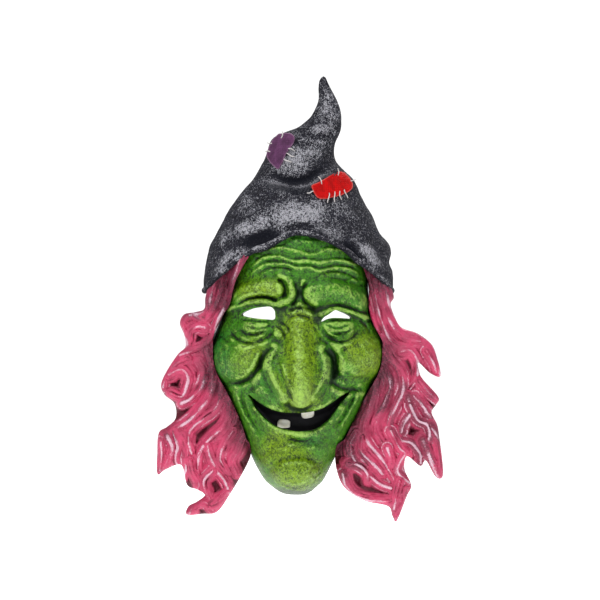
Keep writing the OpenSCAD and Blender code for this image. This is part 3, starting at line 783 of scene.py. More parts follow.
def face_relief(x, z):
    """How far the features stand out of the plain face, towards the front."""
    h = np.zeros(x.shape)
    for line, radius, height in FACE_MOUNDS:
        h = add_mound(h, x, z, line, radius, height, 2.2)
    for form, power in ((NOSE_FOOT, 3.2), (NOSE, 2.0)):
        cx, w, top = (table_curve(z, form, c) for c in (1, 2, 3))
        h = soft_max(h, top - np.maximum(top, 9) * (np.abs(x - cx) / w) ** power, 5.0)
    for line, radius, height in NOSE_MOUNDS:
        h = add_mound(h, x, z, line, radius, height, 3.0)
    deepen = sizes().wrinkle
    for line, width, depth in FACE_CREASES:
        h = h + stroke(x, z, line, width, depth * deepen, "crease", 0.22)
    for line, width, height in FACE_FOLDS:
        h = h + stroke(x, z, line, width, FOLD_SHARE * height * deepen, "fold", 0.12)
    # Thick lids round the eye holes, and a lip round the mouth
    for eye in (LEFT_EYE, RIGHT_EYE):
        d = nearest(x, z, smooth_line(eye, True), True)[0]
        h = h + np.exp(-((d / 1.5) ** 2))
    d = nearest(x, z, smooth_line(MOUTH, True, 3), True)[0]
    return h + 1.1 * np.exp(-(((d - 1.5) / 1.8) ** 2))


def face_plain(x, z):
    """The plain face's y, and how much of the relief shows there."""
    s = np.clip((x - face_lean(z)) / face_half(z), -1, 1)
    front = np.power(np.clip(1 - s * s, 0, 1), 0.4)
    return -table_curve(z, FACE, 2) * front, np.minimum(3 * front, 1)


def face_surface(x, z):
    """The y of the finished face, without its fine grain."""
    y, show = face_plain(x, z)
    return y - face_relief(x, z) * show


def hooked(x, y, z):
    """Heights after the nose's tip is bent downwards."""
    out = np.clip(-(y - face_plain(x, z)[0]) - 14, 0, None)
    return z - 0.05 * out * smooth_step(-z, 35, 62)


def face_grid():
    """The face's grid from its top edge down to its rim, with the eyes and mouth cut out."""
    across, down, chin_rows, step = 192, 240, 12, 1.05
    top, chin, rim = 92, -158, -163.48
    t = np.linspace(-1, 1, across)
    a = np.radians(90 * (0.86 * t + 0.14 * t**3))
    # Closer rows under the chin, where the skin turns in
    z = np.concatenate([np.linspace(top, chin, down - chin_rows), np.linspace(chin, rim, chin_rows + 1)[1:]])
    grid_z = np.repeat(z[:, None], across, 1)
    grid_x = face_lean(grid_z) + face_half(grid_z) * np.sin(a)[None, :]
    holes = [smooth_line(LEFT_EYE, True), smooth_line(RIGHT_EYE, True), smooth_line(MOUTH, True)]
    return cut_grid(grid_x, grid_z, step, holes)


def build_face():
    """The cast face: a wrinkled outside, a smoother inside and a wall round every edge."""
    x, z, quads = face_grid()
    plain, show = face_plain(x, z)
    relief = face_relief(x, z)
    y = plain - relief * show
    wrinkles = 1 - 2 * np.abs(lumps(x + 3 * lumps(x, y, z, 9, 5, 1), y, z * 1.25, 6.5, 3, 3))
    bumps = 0.55 * lumps(x, y, z, 11, 2, 2) + 0.62 * wrinkles + 0.34 * lumps(x, y, z, 2.4, 8, 2)
    y = y - bumps * np.minimum(show * 1.2, 1)
    skin_t = sizes().skin / MM
    inner_y = blur(rearmost(y, 3), 3) + skin_t * np.minimum(show, 1) * 0.9
    half, lean = face_half(z), face_lean(z)
    inner_x = lean + (x - lean) * (half - skin_t) / half
    inner_y[:, 0] = inner_y[:, -1] = y[:, 0] = y[:, -1] = 0
    inner_y = np.minimum(inner_y, 0)
    # Hollows hold dark paint, and crests catch the dry brush
    top = relief * show + bumps
    cavity = np.maximum((blur(top, 2) - top) / 1.3 - 0.15, (blur(top, 6) - top) / 7.0 - 0.15)
    crest = np.maximum((top - blur(top, 3)) / 1.3, (top - blur(top, 9)) / 7.0)
    rim = smooth_step(np.abs(x - lean) / half, 0.93, 0.995)
    # Besides the dark paint in the hollows, painted shade in the eye corners, beside the nose, under the hat, along the
    # face's sides by the hair and under the chin
    deep = np.clip(cavity, 0, 1.2) + 0.7 * sum(near_lines(x, z, FACE_PAINTED_SHADE))
    deep = deep + 0.9 * rim * (z < 30) + 0.8 * smooth_step(-z, 148, 162)
    marks = {
        "deep": np.clip(deep, 0, 1), "high": np.clip(crest, 0, 1) * (1 - rim),
        "warm": np.max(near_lines(x, z, FACE_WARM), axis=0), "cool": np.max(near_lines(x, z, FACE_COOL), axis=0),
    }
    outer = np.stack([x, y, hooked(x, y, z)], -1)
    inner = np.stack([inner_x, inner_y, hooked(inner_x, inner_y, z)], -1)
    piece = skin("face", outer, inner, quads, marks)
    dress(piece, face_paint(), raw_latex())
    finish_piece(piece, "mask", ["face_shell"])


def build_liner():
    """The black lining glued behind the open mouth, lapping the skin and sunk behind the opening."""
    across, down, step = 150, 90, 0.8
    glue, thick, sunk = 0.3, 1.5, 8
    z = np.repeat(np.linspace(-55, -120, down)[:, None], across, 1)
    x = np.repeat(np.linspace(-60, 60, across)[None, :], down, 0)
    edge = smooth_line(LINING, True, 4)
    x, z, quads = cut_grid(x, z, step, [edge], keep_inside=True)
    lap = blur(rearmost(face_surface(x, z), 4), 4) + sizes().skin / MM + glue
    depth = nearest(x, z, edge, True)[0]
    y = lap + sunk * smooth_step(depth, 5, 13) + 0.3 * lumps(x, 0 * x, z, 6, 4)
    piece = skin("mouth_lining", np.stack([x, y, z], -1), np.stack([x, y + thick, z], -1), quads)
    p = Paint("mouth_rubber", roughness=0.62, specular=0.25)
    grain = p.noise(0.9, 3)
    material = p.finish(p.mix(grain, tone("mouth"), (0.012, 0.011, 0.014)), None, grain, 0.2, 0.6)
    dress(piece, material, material)
    finish_piece(piece, "mask", ["mouth_liner"])


def build_teeth():
    """Two rounded blocks, warped to lie on the lining."""
    wide, deep, sunk = 11.4, 4.0, 0.9
    paint = Paint("tooth_enamel", roughness=0.28)
    fine, broad = paint.noise(1.2, 4), paint.noise(6, 3)
    colour = paint.mix(paint.between(broad, 0.35, 0.75), tone("tooth"), (0.70, 0.66, 0.52))
    material = paint.finish(colour, None, fine, 0.15, 0.5)
    lining = np.array([v.co for v in bpy.data.objects["mouth_lining"].data.vertices]) / MM
    lining = lining[: len(lining) // 2]
    for name, x, z, up, tall in TEETH:
        bpy.ops.mesh.primitive_cube_add(size=1)
        piece = bpy.context.active_object
        piece.name = piece.data.name = name
        piece.data.transform(Matrix.Diagonal((wide * MM, deep * MM, tall * MM, 1)))
        bevel = piece.modifiers.new("Rounded", "BEVEL")
        bevel.width, bevel.segments = 1.9 * MM, 5
        bpy.ops.object.modifier_apply(modifier=bevel.name)
        fine_mesh = piece.modifiers.new("Fine", "SUBSURF")
        fine_mesh.levels = fine_mesh.render_levels = 2
        bpy.ops.object.modifier_apply(modifier=fine_mesh.name)
        co = np.zeros(len(piece.data.vertices) * 3)
        piece.data.vertices.foreach_get("co", co)
        c = co.reshape(-1, 3) / MM
        # Narrower at the biting edge, bowed forwards and slightly uneven
        bite = np.clip(-2 * up * c[:, 2] / tall, 0, 1)
        c[:, 0] *= 1 - 0.16 * bite**3
        c[:, 2] += up * 0.35 * (c[:, 0] / 5) * bite + up * 0.9 * bite * (c[:, 0] / 5.7) ** 2
        c[:, 1] -= 0.6 * (1 - (c[:, 0] / 6) ** 2)
        c += 0.22 * lumps(c[:, 0] + 9 * up, c[:, 1], c[:, 2], 3.0, 6)[:, None]
        c[:, ::2] += (x, z)
        # The tooth follows the lining near it, with its back face sunk into it
        apart = ((c[:, None, ::2] - lining[None, :, ::2]) ** 2).sum(2)
        share = np.exp(-apart / 6)
        c[:, 1] = share @ lining[:, 1] / share.sum(1) + sunk - 0.7 * (deep / 2 - c[:, 1])
        piece.data.vertices.foreach_set("co", (c * MM).ravel())
        shade(piece, 40)
        dress(piece, material)
        finish_piece(piece, "mask", [name])


# ---------------------------------------------------------------- the hat

# Height, left side, right side, depth in front of and behind the middle plane
HAT = [
    (10, -84, 85, 60, 26), (17, -84, 85, 60, 26), (26, -84.3, 85.3, 60, 27), (37, -83.5, 84.5, 60, 28),
    (45, -82.5, 81.5, 60, 28), (53, -81, 83, 60, 29), (61, -78.5, 82, 59.5, 29), (73, -71.5, 74, 57.5, 30),
    (89, -63, 66.5, 52.5, 31), (105, -52.5, 57, 44, 32), (119, -41, 50, 35, 31), (128, -35.5, 41, 31, 30),
    (136, -31, 34.5, 27.5, 28), (144, -27.8, 33, 24, 25), (152, -24.5, 34, 21, 22), (158, -20, 36.8, 19, 19),
    (162.5, -10, 38.6, 17.5, 17), (166, -1, 39.4, 16, 15), (171, 6, 39.8, 14.5, 13.5), (178, 12.8, 39.3, 12, 12),
    (190, 18.2, 35.6, 9, 9), (202, 18.8, 29.4, 6, 6), (208, 19.6, 26.6, 3.8, 3.8), (211.4, 21.6, 25, 1.8, 1.8),
    (212.4, 23.1, 23.7, 0.3, 0.3),
]
# Folds pressed into the hat's front: line, width, height, kind
HAT_FOLDS = [
    ([(36, 138), (33, 129), (19, 118), (10, 112.5), (-7, 110.5), (-25, 117), (-34, 124)], 9, 5.0, "fold"),
    ([(30, 99), (6, 96), (-20, 101)], 7, 1.6, "ridge"),
    ([(-73, 60), (-52, 75), (-37, 76.5)], 6, 4.0, "ridge"),
    ([(-47, 60), (-33, 66), (-17, 70)], 5.5, 3.4, "crease"),
    ([(-78, 27), (-61, 49.5), (-45, 58.5)], 4.5, 2.4, "ridge"),
    ([(51, 63), (65, 49), (77, 36)], 7, 4.0, "ridge"),
    ([(38, 64), (50, 54), (60, 44)], 4, 2.6, "crease"),
    ([(-30, 84), (-2, 90), (30, 83)], 12, 2.6, "ridge"),
    ([(8, 72), (28, 70), (44, 60)], 4, 1.8, "ridge"),
    ([(-16, 74), (2, 77), (16, 76)], 4, 1.6, "crease"),
    ([(-13, 154), (8, 150), (30, 147)], 3.2, 2.6, "crease"),
    ([(-2, 163), (12, 157), (33, 158)], 3.4, 2.6, "crease"),
    ([(10, 172), (20, 169), (30, 175)], 2.8, 1.0, "crease"),
    ([(20, 203), (27, 190), (34, 176)], 2.6, 0.9, "crease"),
    ([(-30, 141), (-12, 136), (4, 139)], 4, 1.8, "ridge"),
    ([(60, 88), (50, 98), (42, 112)], 5, 2.0, "crease"),
    ([(-60, 84), (-48, 96), (-40, 110)], 5, 2.2, "ridge"),
]
# The hat's middle plane, the height of its tip, and where the hollow inside the tip ends
HAT_Y = -8
HAT_TIP = 212.4
HAT_HOLLOW = 208.5
# Colour painted along lines: line, width, amount. First the silver dry brushing, then painted shade under the folds and
# in the creases by the hem
HAT_SILVER = (
    ([(-34, 80), (0, 87), (32, 82)], 15, 0.75), ([(-14, 124), (4, 140), (14, 152), (27, 165), (28, 190)], 15, 0.65),
    ([(-70, 58), (-45, 74)], 8, 0.5), ([(-77, 28), (-60, 50), (-44, 58)], 5, 0.5), ([(50, 64), (76, 38)], 8, 0.5),
    ([(-50, 92), (-36, 112)], 10, 0.3), ([(52, 84), (44, 104)], 10, 0.3),
)
HAT_PAINTED_SHADE = (
    ([(-45, 62), (-20, 67)], 7, 1.0), ([(-26, 113), (0, 107), (14, 110), (33, 125)], 5, 0.9),
    ([(-30, 60), (20, 72)], 4, 0.4), ([(20, 70), (40, 64), (56, 52)], 5, 0.5),
)


def hat_edge(a):
    """Height of the hat's lower edge at angle a, which is 0 at the front."""
    s = np.abs(np.sin(a))
    front = 67.4 - 50.4 * s**1.8 - 4.0 * np.exp(-(((84 * np.sin(a) + 29) / 13) ** 2))
    return np.where(np.cos(a) > 0, front, 119.8 - 102.8 * s**1.4)


def hat_relief(x, z):
    """How far the folds stand out of the hat's front."""
    h = np.zeros(x.shape)
    for line, width, height, kind in HAT_FOLDS:
        h = h + stroke(x, z, line, width, height, kind, 0.3)
    return h


def hat_surface(a, z, off=0.0, relief=1.0):
    """A point of the hat's outside at angle a and height z, moved inwards by off."""
    left, right, front, rear = (table_curve(z, HAT, c) for c in (1, 2, 3, 4))
    mid, half = (left + right) / 2, (right - left) / 2
    deep = np.where(np.cos(a) > 0, front, rear)
    nx, ny = np.sin(a) / half, -np.cos(a) / deep
    n = np.hypot(nx, ny)
    x, y = mid + half * np.sin(a), HAT_Y - deep * np.cos(a)
    shown = np.sqrt(np.clip(np.cos(a), 0, 1))
    bump = hat_relief(x, z) * shown + 1.5 * lumps(x, y, z, 24, 12, 2) + 0.55 * lumps(x, y, z, 7, 13, 3)
    small = np.minimum(np.minimum(half, deep) / 12, 1)
    r = np.minimum(off, 0.62 * np.minimum(half, deep))
    # The inside follows the hollows only, so that the latex never gets thinner than off
    step = (relief * bump + (1 - relief) * np.minimum(bump, 0)) * small - r
    return np.stack([x + step * nx / n, y + step * ny / n, z], -1), bump


def hat_front_y(x, z):
    """The y of the hat's front at x and z."""
    left, right = (table_curve(z, HAT, c) for c in (1, 2))
    s = np.clip((x - (left + right) / 2) / ((right - left) / 2), -0.999, 0.999)
    return hat_surface(np.arcsin(s), z)[0][..., 1]


def build_hat():
    """The bent cone: a wrinkled outside over a smooth inside, closed at the tip and open below."""
    across, down = 260, 172
    a = np.linspace(-math.pi, math.pi, across, endpoint=False)[None, :]
    t = np.linspace(1, 0, down)[:, None]
    # The shell stops within the rolled hem
    low = hat_edge(a) + 3.5
    z = low + (HAT_TIP - low) * t
    a = np.repeat(a, down, 0)
    outer, bump = hat_surface(a, z)
    inner, _ = hat_surface(a, z, off=sizes().hat_skin / MM, relief=0.0)
    inner[..., 2] = np.minimum(inner[..., 2], HAT_HOLLOW)
    quads = grid_quads(down, across, wrap=True)
    broad = (bump - blur(bump, 8)) / 3.0
    x = outer[..., 0]
    front = np.clip(np.cos(a), 0, 1)
    high = 0.02 + 0.9 * np.clip(broad, -0.5, 1) + front * sum(near_lines(x, z, HAT_SILVER))
    # Darker in the hollows, and painted shade under the folds and in the creases by the hem
    deep = np.clip(-broad * 0.8, 0, 1) + front * sum(near_lines(x, z, HAT_PAINTED_SHADE))
    # Lengths along the cloth, from the middle of the front and from the tip, which space the weave
    gaps = np.linalg.norm(np.diff(outer, axis=1, append=outer[:, :1]), axis=-1)
    along = np.cumsum(gaps, 1) - gaps
    around = np.abs(along - along[:, across // 2][:, None])
    column = outer[:, across // 2]
    up = np.concatenate([[0], np.cumsum(np.linalg.norm(np.diff(column, axis=0), axis=-1))])
    up = np.repeat(up[:, None], across, 1)
    marks = {"high": high, "deep": np.clip(deep, 0, 1), "around": around, "up": up}
    piece = skin("hat", outer, inner, quads, marks, caps=[list(range(across))])
    dress(piece, hat_paint(), hat_inside())
    finish_piece(piece, "mask", ["hat_shell"])


def hat_inside():
    """The hat's inside, dark all over: painted shade in its hollow, and black paint by its edge."""
    p = Paint("hat_inside", roughness=0.65)
    broad = p.noise(18, 4)
    colour = p.mix(p.between(broad, 0.3, 0.7), (0.022, 0.021, 0.022), (0.045, 0.040, 0.036))
    return p.finish(colour, None, broad, 0.6, 0.6)


def tube(middle, radii, sides):
    """The rings of a tube along a line of points, with round ends, and the angles of its sides."""
    end_rings = 6
    p = np.array(middle, float)
    r = np.broadcast_to(radii, len(p)).astype(float)
    along = np.gradient(p, axis=0)
    along /= np.linalg.norm(along, axis=1)[:, None]
    up = np.zeros_like(p)
    guide = np.array([0, -1.0, 0.15])
    for i, d in enumerate(along):
        g = guide - np.dot(guide, d) * d
        guide = g / np.linalg.norm(g)
        up[i] = guide

    def with_ends(v):
        return np.concatenate([np.repeat(v[:1], end_rings, 0), v[1:-1], np.repeat(v[-1:], end_rings, 0)])

    turn = np.linspace(0.12, math.pi / 2, end_rings)
    swell, back = np.sin(turn), np.cos(turn)
    start = [p[0] - along[0] * r[0] * b for b in back]
    stop = [p[-1] + along[-1] * r[-1] * b for b in back[::-1]]
    rings = np.array(start + list(p[1:-1]) + stop)
    radius = np.concatenate([r[0] * swell, r[1:-1], r[-1] * swell[::-1]])
    ups, across = with_ends(up), with_ends(np.cross(along, up))
    t = np.linspace(0, 2 * math.pi, sides, endpoint=False)
    spokes = np.cos(t)[None, :, None] * ups[:, None] + np.sin(t)[None, :, None] * across[:, None]
    return rings[:, None] + radius[:, None, None] * spokes, t


def tube_faces(rings, sides, start=0):
    """The faces of a tube whose points begin at start, closed at both ends."""
    faces = grid_quads(rings, sides, wrap=True) + start
    last = start + (rings - 1) * sides
    return faces[:, ::-1].tolist() + [list(range(start, start + sides)), list(range(last, last + sides))[::-1]]


def build_hem():
    """The thick rolled hem along the front of the hat's lower edge."""
    sides = 26
    a = np.radians(np.linspace(-106, 106, 420))
    z = hat_edge(a) + 3.2
    middle, _ = hat_surface(a, z, off=1.2, relief=0.35)
    thick = 2.6 + 0.8 * lumps(middle[:, 0], middle[:, 1], middle[:, 2], 16, 21, 2)
    points, t = tube(middle, thick, sides)
    rings = len(points)
    flat = points.reshape(-1, 3)
    out = flat - np.repeat(points.mean(1), sides, 0)
    out /= np.maximum(np.linalg.norm(out, axis=1), 1e-6)[:, None]
    bump = 0.6 * lumps(*flat.T, 6.5, 22, 3)
    flat = flat + out * bump[:, None]
    piece = new_object("hat_hem_roll", flat * MM, tube_faces(rings, sides))
    arc = np.concatenate([[0], np.cumsum(np.linalg.norm(np.diff(points.mean(1), axis=0), axis=1))])
    # Dry brushing on the hem's lumps, with a painted highlight on its upper side and painted shade on its underside
    write_mark(piece.data, "high", 0.35 + 0.9 * bump + 0.35 * out[:, 2])
    write_mark(piece.data, "deep", np.clip(-0.1 - 0.7 * out[:, 2], 0, 1))
    write_mark(piece.data, "around", np.repeat(arc, sides))
    write_mark(piece.data, "up", np.tile(3.0 * np.abs(t - math.pi), rings))
    shade(piece, 70)
    dress(piece, bpy.data.materials["hat_paint"])
    finish_piece(piece, "mask", ["hat_hem"])


RED_PATCH = [
    (12.5, 112), (20.5, 116.5), (34, 125.5), (42.5, 125.5), (49.5, 115), (45, 107.5), (29, 101.5), (17.5, 102),
]
PURPLE_PATCH = [(-18, 160), (-5, 159.5), (-3, 152), (-10, 142), (-13, 134), (-18, 128), (-27, 138), (-26.5, 147)]


def cloth_paint(name, main, worn):
    """Woven cloth, paler where its edge is worn."""
    p = Paint(name, roughness=0.75, specular=0.2)
    threads = [
        p.node(
            "ShaderNodeTexWave", wave_type="BANDS", bands_direction=way, Vector=p.coords, Scale=170.0, Distortion=1.2
        ).outputs["Fac"]
        for way in "XZ"
    ]
    weave = p.math("MAXIMUM", *threads)
    fine, broad = p.noise(1.1, 4, 0.7), p.noise(6, 4, 0.6)
    base = p.mix(p.between(broad, 0.3, 0.75), main, tuple(0.55 * c for c in main))
    base = p.mix(p.between(p.plus(p.mark("edge"), fine, 0.7), 0.75, 1.25, 0.0, 0.8), base, worn)
    return p.finish(base, None, p.plus(weave, fine), 0.5, 0.9)


def build_patch(name, outline, main, worn, node, slot):
    """A thin cloth patch that follows the hat, with a ragged edge that curls up."""
    line = smooth_line(outline, True, 9)
    jag = 0.8 * lumps(line[:, 0], 0 * line[:, 0], line[:, 1], 3.0, 31, 3)
    out = line - line.mean(0)
    line = line + out / np.linalg.norm(out, axis=1)[:, None] * jag[:, None]
    x, z, quads, d = outline_grid(line, 0.45)
    y = hat_front_y(x, z)
    curl = 1.1 * np.exp(-((d / 2.2) ** 2)) * (0.5 + 0.5 * lumps(x, 0 * x, z, 6, 33, 2))
    rise = sizes().patch / MM + curl + 0.5 * lumps(x, 0 * x, z, 5, 32, 3)
    front = np.stack([x, y - rise * smooth_step(d, -0.8, 0.9), z], -1)
    back = np.stack([x, y + 0.6, z], -1)
    piece = skin(name, front, back, quads, {"edge": np.exp(-d / 1.6)})
    material = cloth_paint(slot + "_cloth", main, worn)
    dress(piece, material, material)
    finish_piece(piece, "mask", [node])


# Each stitch's two ends
RED_STITCHES = [
    ((28, 106), (27, 98)), ((32.5, 107), (33, 98.5)), ((37, 108.5), (38.5, 100)), ((41.5, 109.5), (44, 102.5)),
    ((14.5, 107), (8.5, 106)), ((22, 114), (19, 120)), ((36, 122.5), (36.5, 129)), ((46.5, 117), (52, 120)),
]
PURPLE_STITCHES = [
    ((-9, 146), (-2, 144.5)), ((-10, 141.5), (-3, 139)), ((-12.5, 137), (-6, 133.5)), ((-24, 144), (-29, 145)),
    ((-22, 151), (-27.5, 153)), ((-14, 156), (-13.5, 162)),
]


def build_stitches():
    """The loose stitches round both patches, each arched off the cloth."""
    sides = 12
    p = Paint("thread_fibre", roughness=0.8)
    fibre = p.noise(0.35, 3)
    material = p.finish(p.mix(fibre, tone("thread", 0.5), tone("thread")), None, fibre, 0.15)
    for node, ends in (("stitches_red", RED_STITCHES), ("stitches_purple", PURPLE_STITCHES)):
        points, faces, count = [], [], 0
        for n, (start, end) in enumerate(ends):
            t = np.linspace(0, 1, 26)
            x = start[0] + (end[0] - start[0]) * t + 0.5 * np.sin(5 * t + n)
            z = start[1] + (end[1] - start[1]) * t + 0.5 * np.sin(4 * t + 2 * n)
            y = hat_front_y(x, z) - 0.4 - 2.6 * np.sin(math.pi * t) ** 0.6
            thick = 0.5 * sizes().thread / MM * (1 + 0.15 * np.sin(40 * t))
            rings, _ = tube(np.stack([x, y, z], -1), thick, sides)
            points.append(rings.reshape(-1, 3))
            faces += tube_faces(len(rings), sides, count)
            count += len(rings) * sides
        piece = new_object(node + "_thread", np.concatenate(points) * MM, faces)
        shade(piece, 70)
        dress(piece, material)
        finish_piece(piece, "mask", [node])


# ---------------------------------------------------------------- the hair

LEFT_HAIR = [
    (-66, 43), (-76, 34), (-82, 15), (-83, 4), (-91, 1), (-101, -1), (-105, -9), (-101, -20), (-100, -30),
    (-107, -37), (-117, -52), (-122, -64), (-119, -73), (-110, -81), (-109, -94), (-117, -102), (-124, -107),
    (-125.5, -123), (-125.5, -144), (-118, -140), (-104, -136), (-99, -154), (-90, -158), (-83, -163), (-90, -169),
    (-98, -173.5), (-99, -180.5), (-85, -180), (-72, -178), (-61, -163), (-47, -139), (-41.5, -125), (-43, -115),
]
LEFT_ROOT = [(-74, -18), (-65, 0), (-60, 8), (-55, 27), (-47, 43), (-42, 53), (-52, 58)]
LEFT_RIDGES = [
    [(-60, 47), (-67, 21), (-70, 11), (-76, -1), (-84, -6), (-94, 0), (-100, -2), (-104, -9), (-102, -19),
     (-98, -27), (-102, -32)],
    [(-50, 50), (-59, 22), (-65, 4), (-72, -10), (-76, -23), (-84, -30), (-95, -34), (-105, -37)],
    [(-70, 36), (-76, 20), (-79, 8), (-86, 0), (-97, -1)],
    [(-82, -13), (-89, -12), (-95, -16), (-96, -24)],
    [(-115, -55), (-108, -51), (-102, -50), (-97, -56), (-98, -64), (-103, -74), (-113, -71)],
    [(-98, -40), (-108, -45), (-117, -56), (-120, -66)],
    [(-87, -42), (-82, -51), (-85, -64), (-94, -76), (-103, -81)],
    [(-80, -33), (-76, -45), (-75, -61), (-80, -76), (-90, -89), (-103, -100), (-116, -105), (-124, -106)],
    [(-72, -46), (-67, -58), (-67, -71), (-72, -84), (-84, -94), (-95, -104), (-97, -115), (-94, -125)],
    [(-61, -72), (-59, -84), (-64, -100), (-77, -112), (-86, -123), (-89, -136), (-88, -145)],
    [(-54, -84), (-56, -94), (-62, -107), (-76, -115)],
    [(-103, -109), (-98, -123), (-99, -136), (-102, -146)],
    [(-110, -106), (-107, -118), (-109, -130), (-107, -138)],
    [(-116, -109), (-112, -120), (-116, -132), (-123, -143)],
    [(-122, -115), (-121, -127), (-123, -141)],
    [(-76, -140), (-84, -150), (-81, -161), (-76, -171)],
    [(-80, -118), (-77, -130), (-72, -140), (-64, -151), (-61, -161)],
    [(-48, -110), (-53, -122), (-58, -132), (-54, -143)],
    [(-57, -104), (-66, -118), (-69, -130), (-63, -141)],
    [(-76, -171), (-71, -168), (-62, -159)],
    [(-98, -181), (-92, -170), (-82, -169), (-76, -176)],
    [(-95, -131), (-93, -142), (-88, -152), (-90, -160)],
]
RIGHT_HAIR = [
    (70, 44), (80, 30), (86, 15), (83, 8), (87, -4), (93, -13), (107, -18), (119, -27), (124, -37), (128, -56),
    (119, -54), (108, -44), (109, -53), (112, -59), (126, -75), (124, -82), (120, -89), (125, -100), (127, -112),
    (130.5, -144), (124, -147), (115, -132), (110, -137), (98, -128), (96, -140), (102, -154), (98, -164),
    (89, -186), (85, -182), (81, -173), (60, -168), (43, -157), (36, -144), (33.5, -128), (35, -117),
]
RIGHT_ROOT = [(75, -24), (67, -9), (63.5, 5), (63.5, 24), (58, 40), (51, 50), (60, 55)]
RIGHT_RIDGES = [
    [(62, 46), (66, 33), (70, 12), (76, -12), (85, -26), (98, -30), (110, -27), (116, -24)],
    [(70, 42), (74, 21), (79, 1), (87, -14), (98, -23), (109, -25)],
    [(76, 34), (79, 19), (83, 3), (92, -10), (105, -15), (118, -24), (125, -37), (127, -55)],
    [(74, -24), (82, -39), (91, -51), (94, -66), (89, -80), (82, -95), (83, -105), (92, -114), (101, -116),
     (109, -125), (110, -134)],
    [(92, -34), (101, -33), (108, -44), (107, -57), (100, -68)],
    [(115, -34), (121, -44), (124, -53)],
    [(74, -40), (78, -51), (82, -62), (78, -80), (70, -95), (69, -105), (76, -116)],
    [(68, -58), (68, -66), (64, -84), (58, -102), (63, -116), (74, -129), (82, -141), (87, -150)],
    [(100, -82), (107, -95), (116, -100), (118, -111), (112, -120)],
    [(98, -74), (101, -88), (95, -98), (93, -106)],
    [(109, -60), (116, -69), (125, -77)],
    [(104, -74), (112, -84), (120, -96)],
    [(119, -100), (127, -114), (129, -134), (130, -147)],
    [(112, -114), (119, -132), (125, -147)],
    [(83, -105), (91, -120), (96, -125), (91, -134), (90, -143), (101, -152)],
    [(46, -134), (55, -136), (62, -143), (63, -150)],
    [(40, -143), (44, -156), (55, -165), (73, -168), (85, -167), (96, -159), (101, -154)],
    [(98, -158), (97, -170), (87, -185)],
    [(52, -106), (47, -116), (49, -129), (60, -140), (73, -152), (89, -158)],
    [(57, -110), (57, -122), (66, -133), (76, -144)],
    [(80, -120), (84, -132), (80, -140)],
    [(91, -150), (88, -162), (86, -175)],
]


def hair_middle(x, z):
    """The y of the middle of the hair: on the face's skin over the face, and nearly flat beside it."""
    s = (x - face_lean(z)) / face_half(z)
    beyond = np.clip((np.abs(s) - 1) * face_half(z), 0, None)
    below = smooth_step(-z, 118, 150)
    flat = -20 + 9 * smooth_step(beyond, 0, 62) + 3 * below
    return np.where(np.abs(s) < 1, np.minimum(face_plain(x, z)[0], flat), flat), np.abs(s)


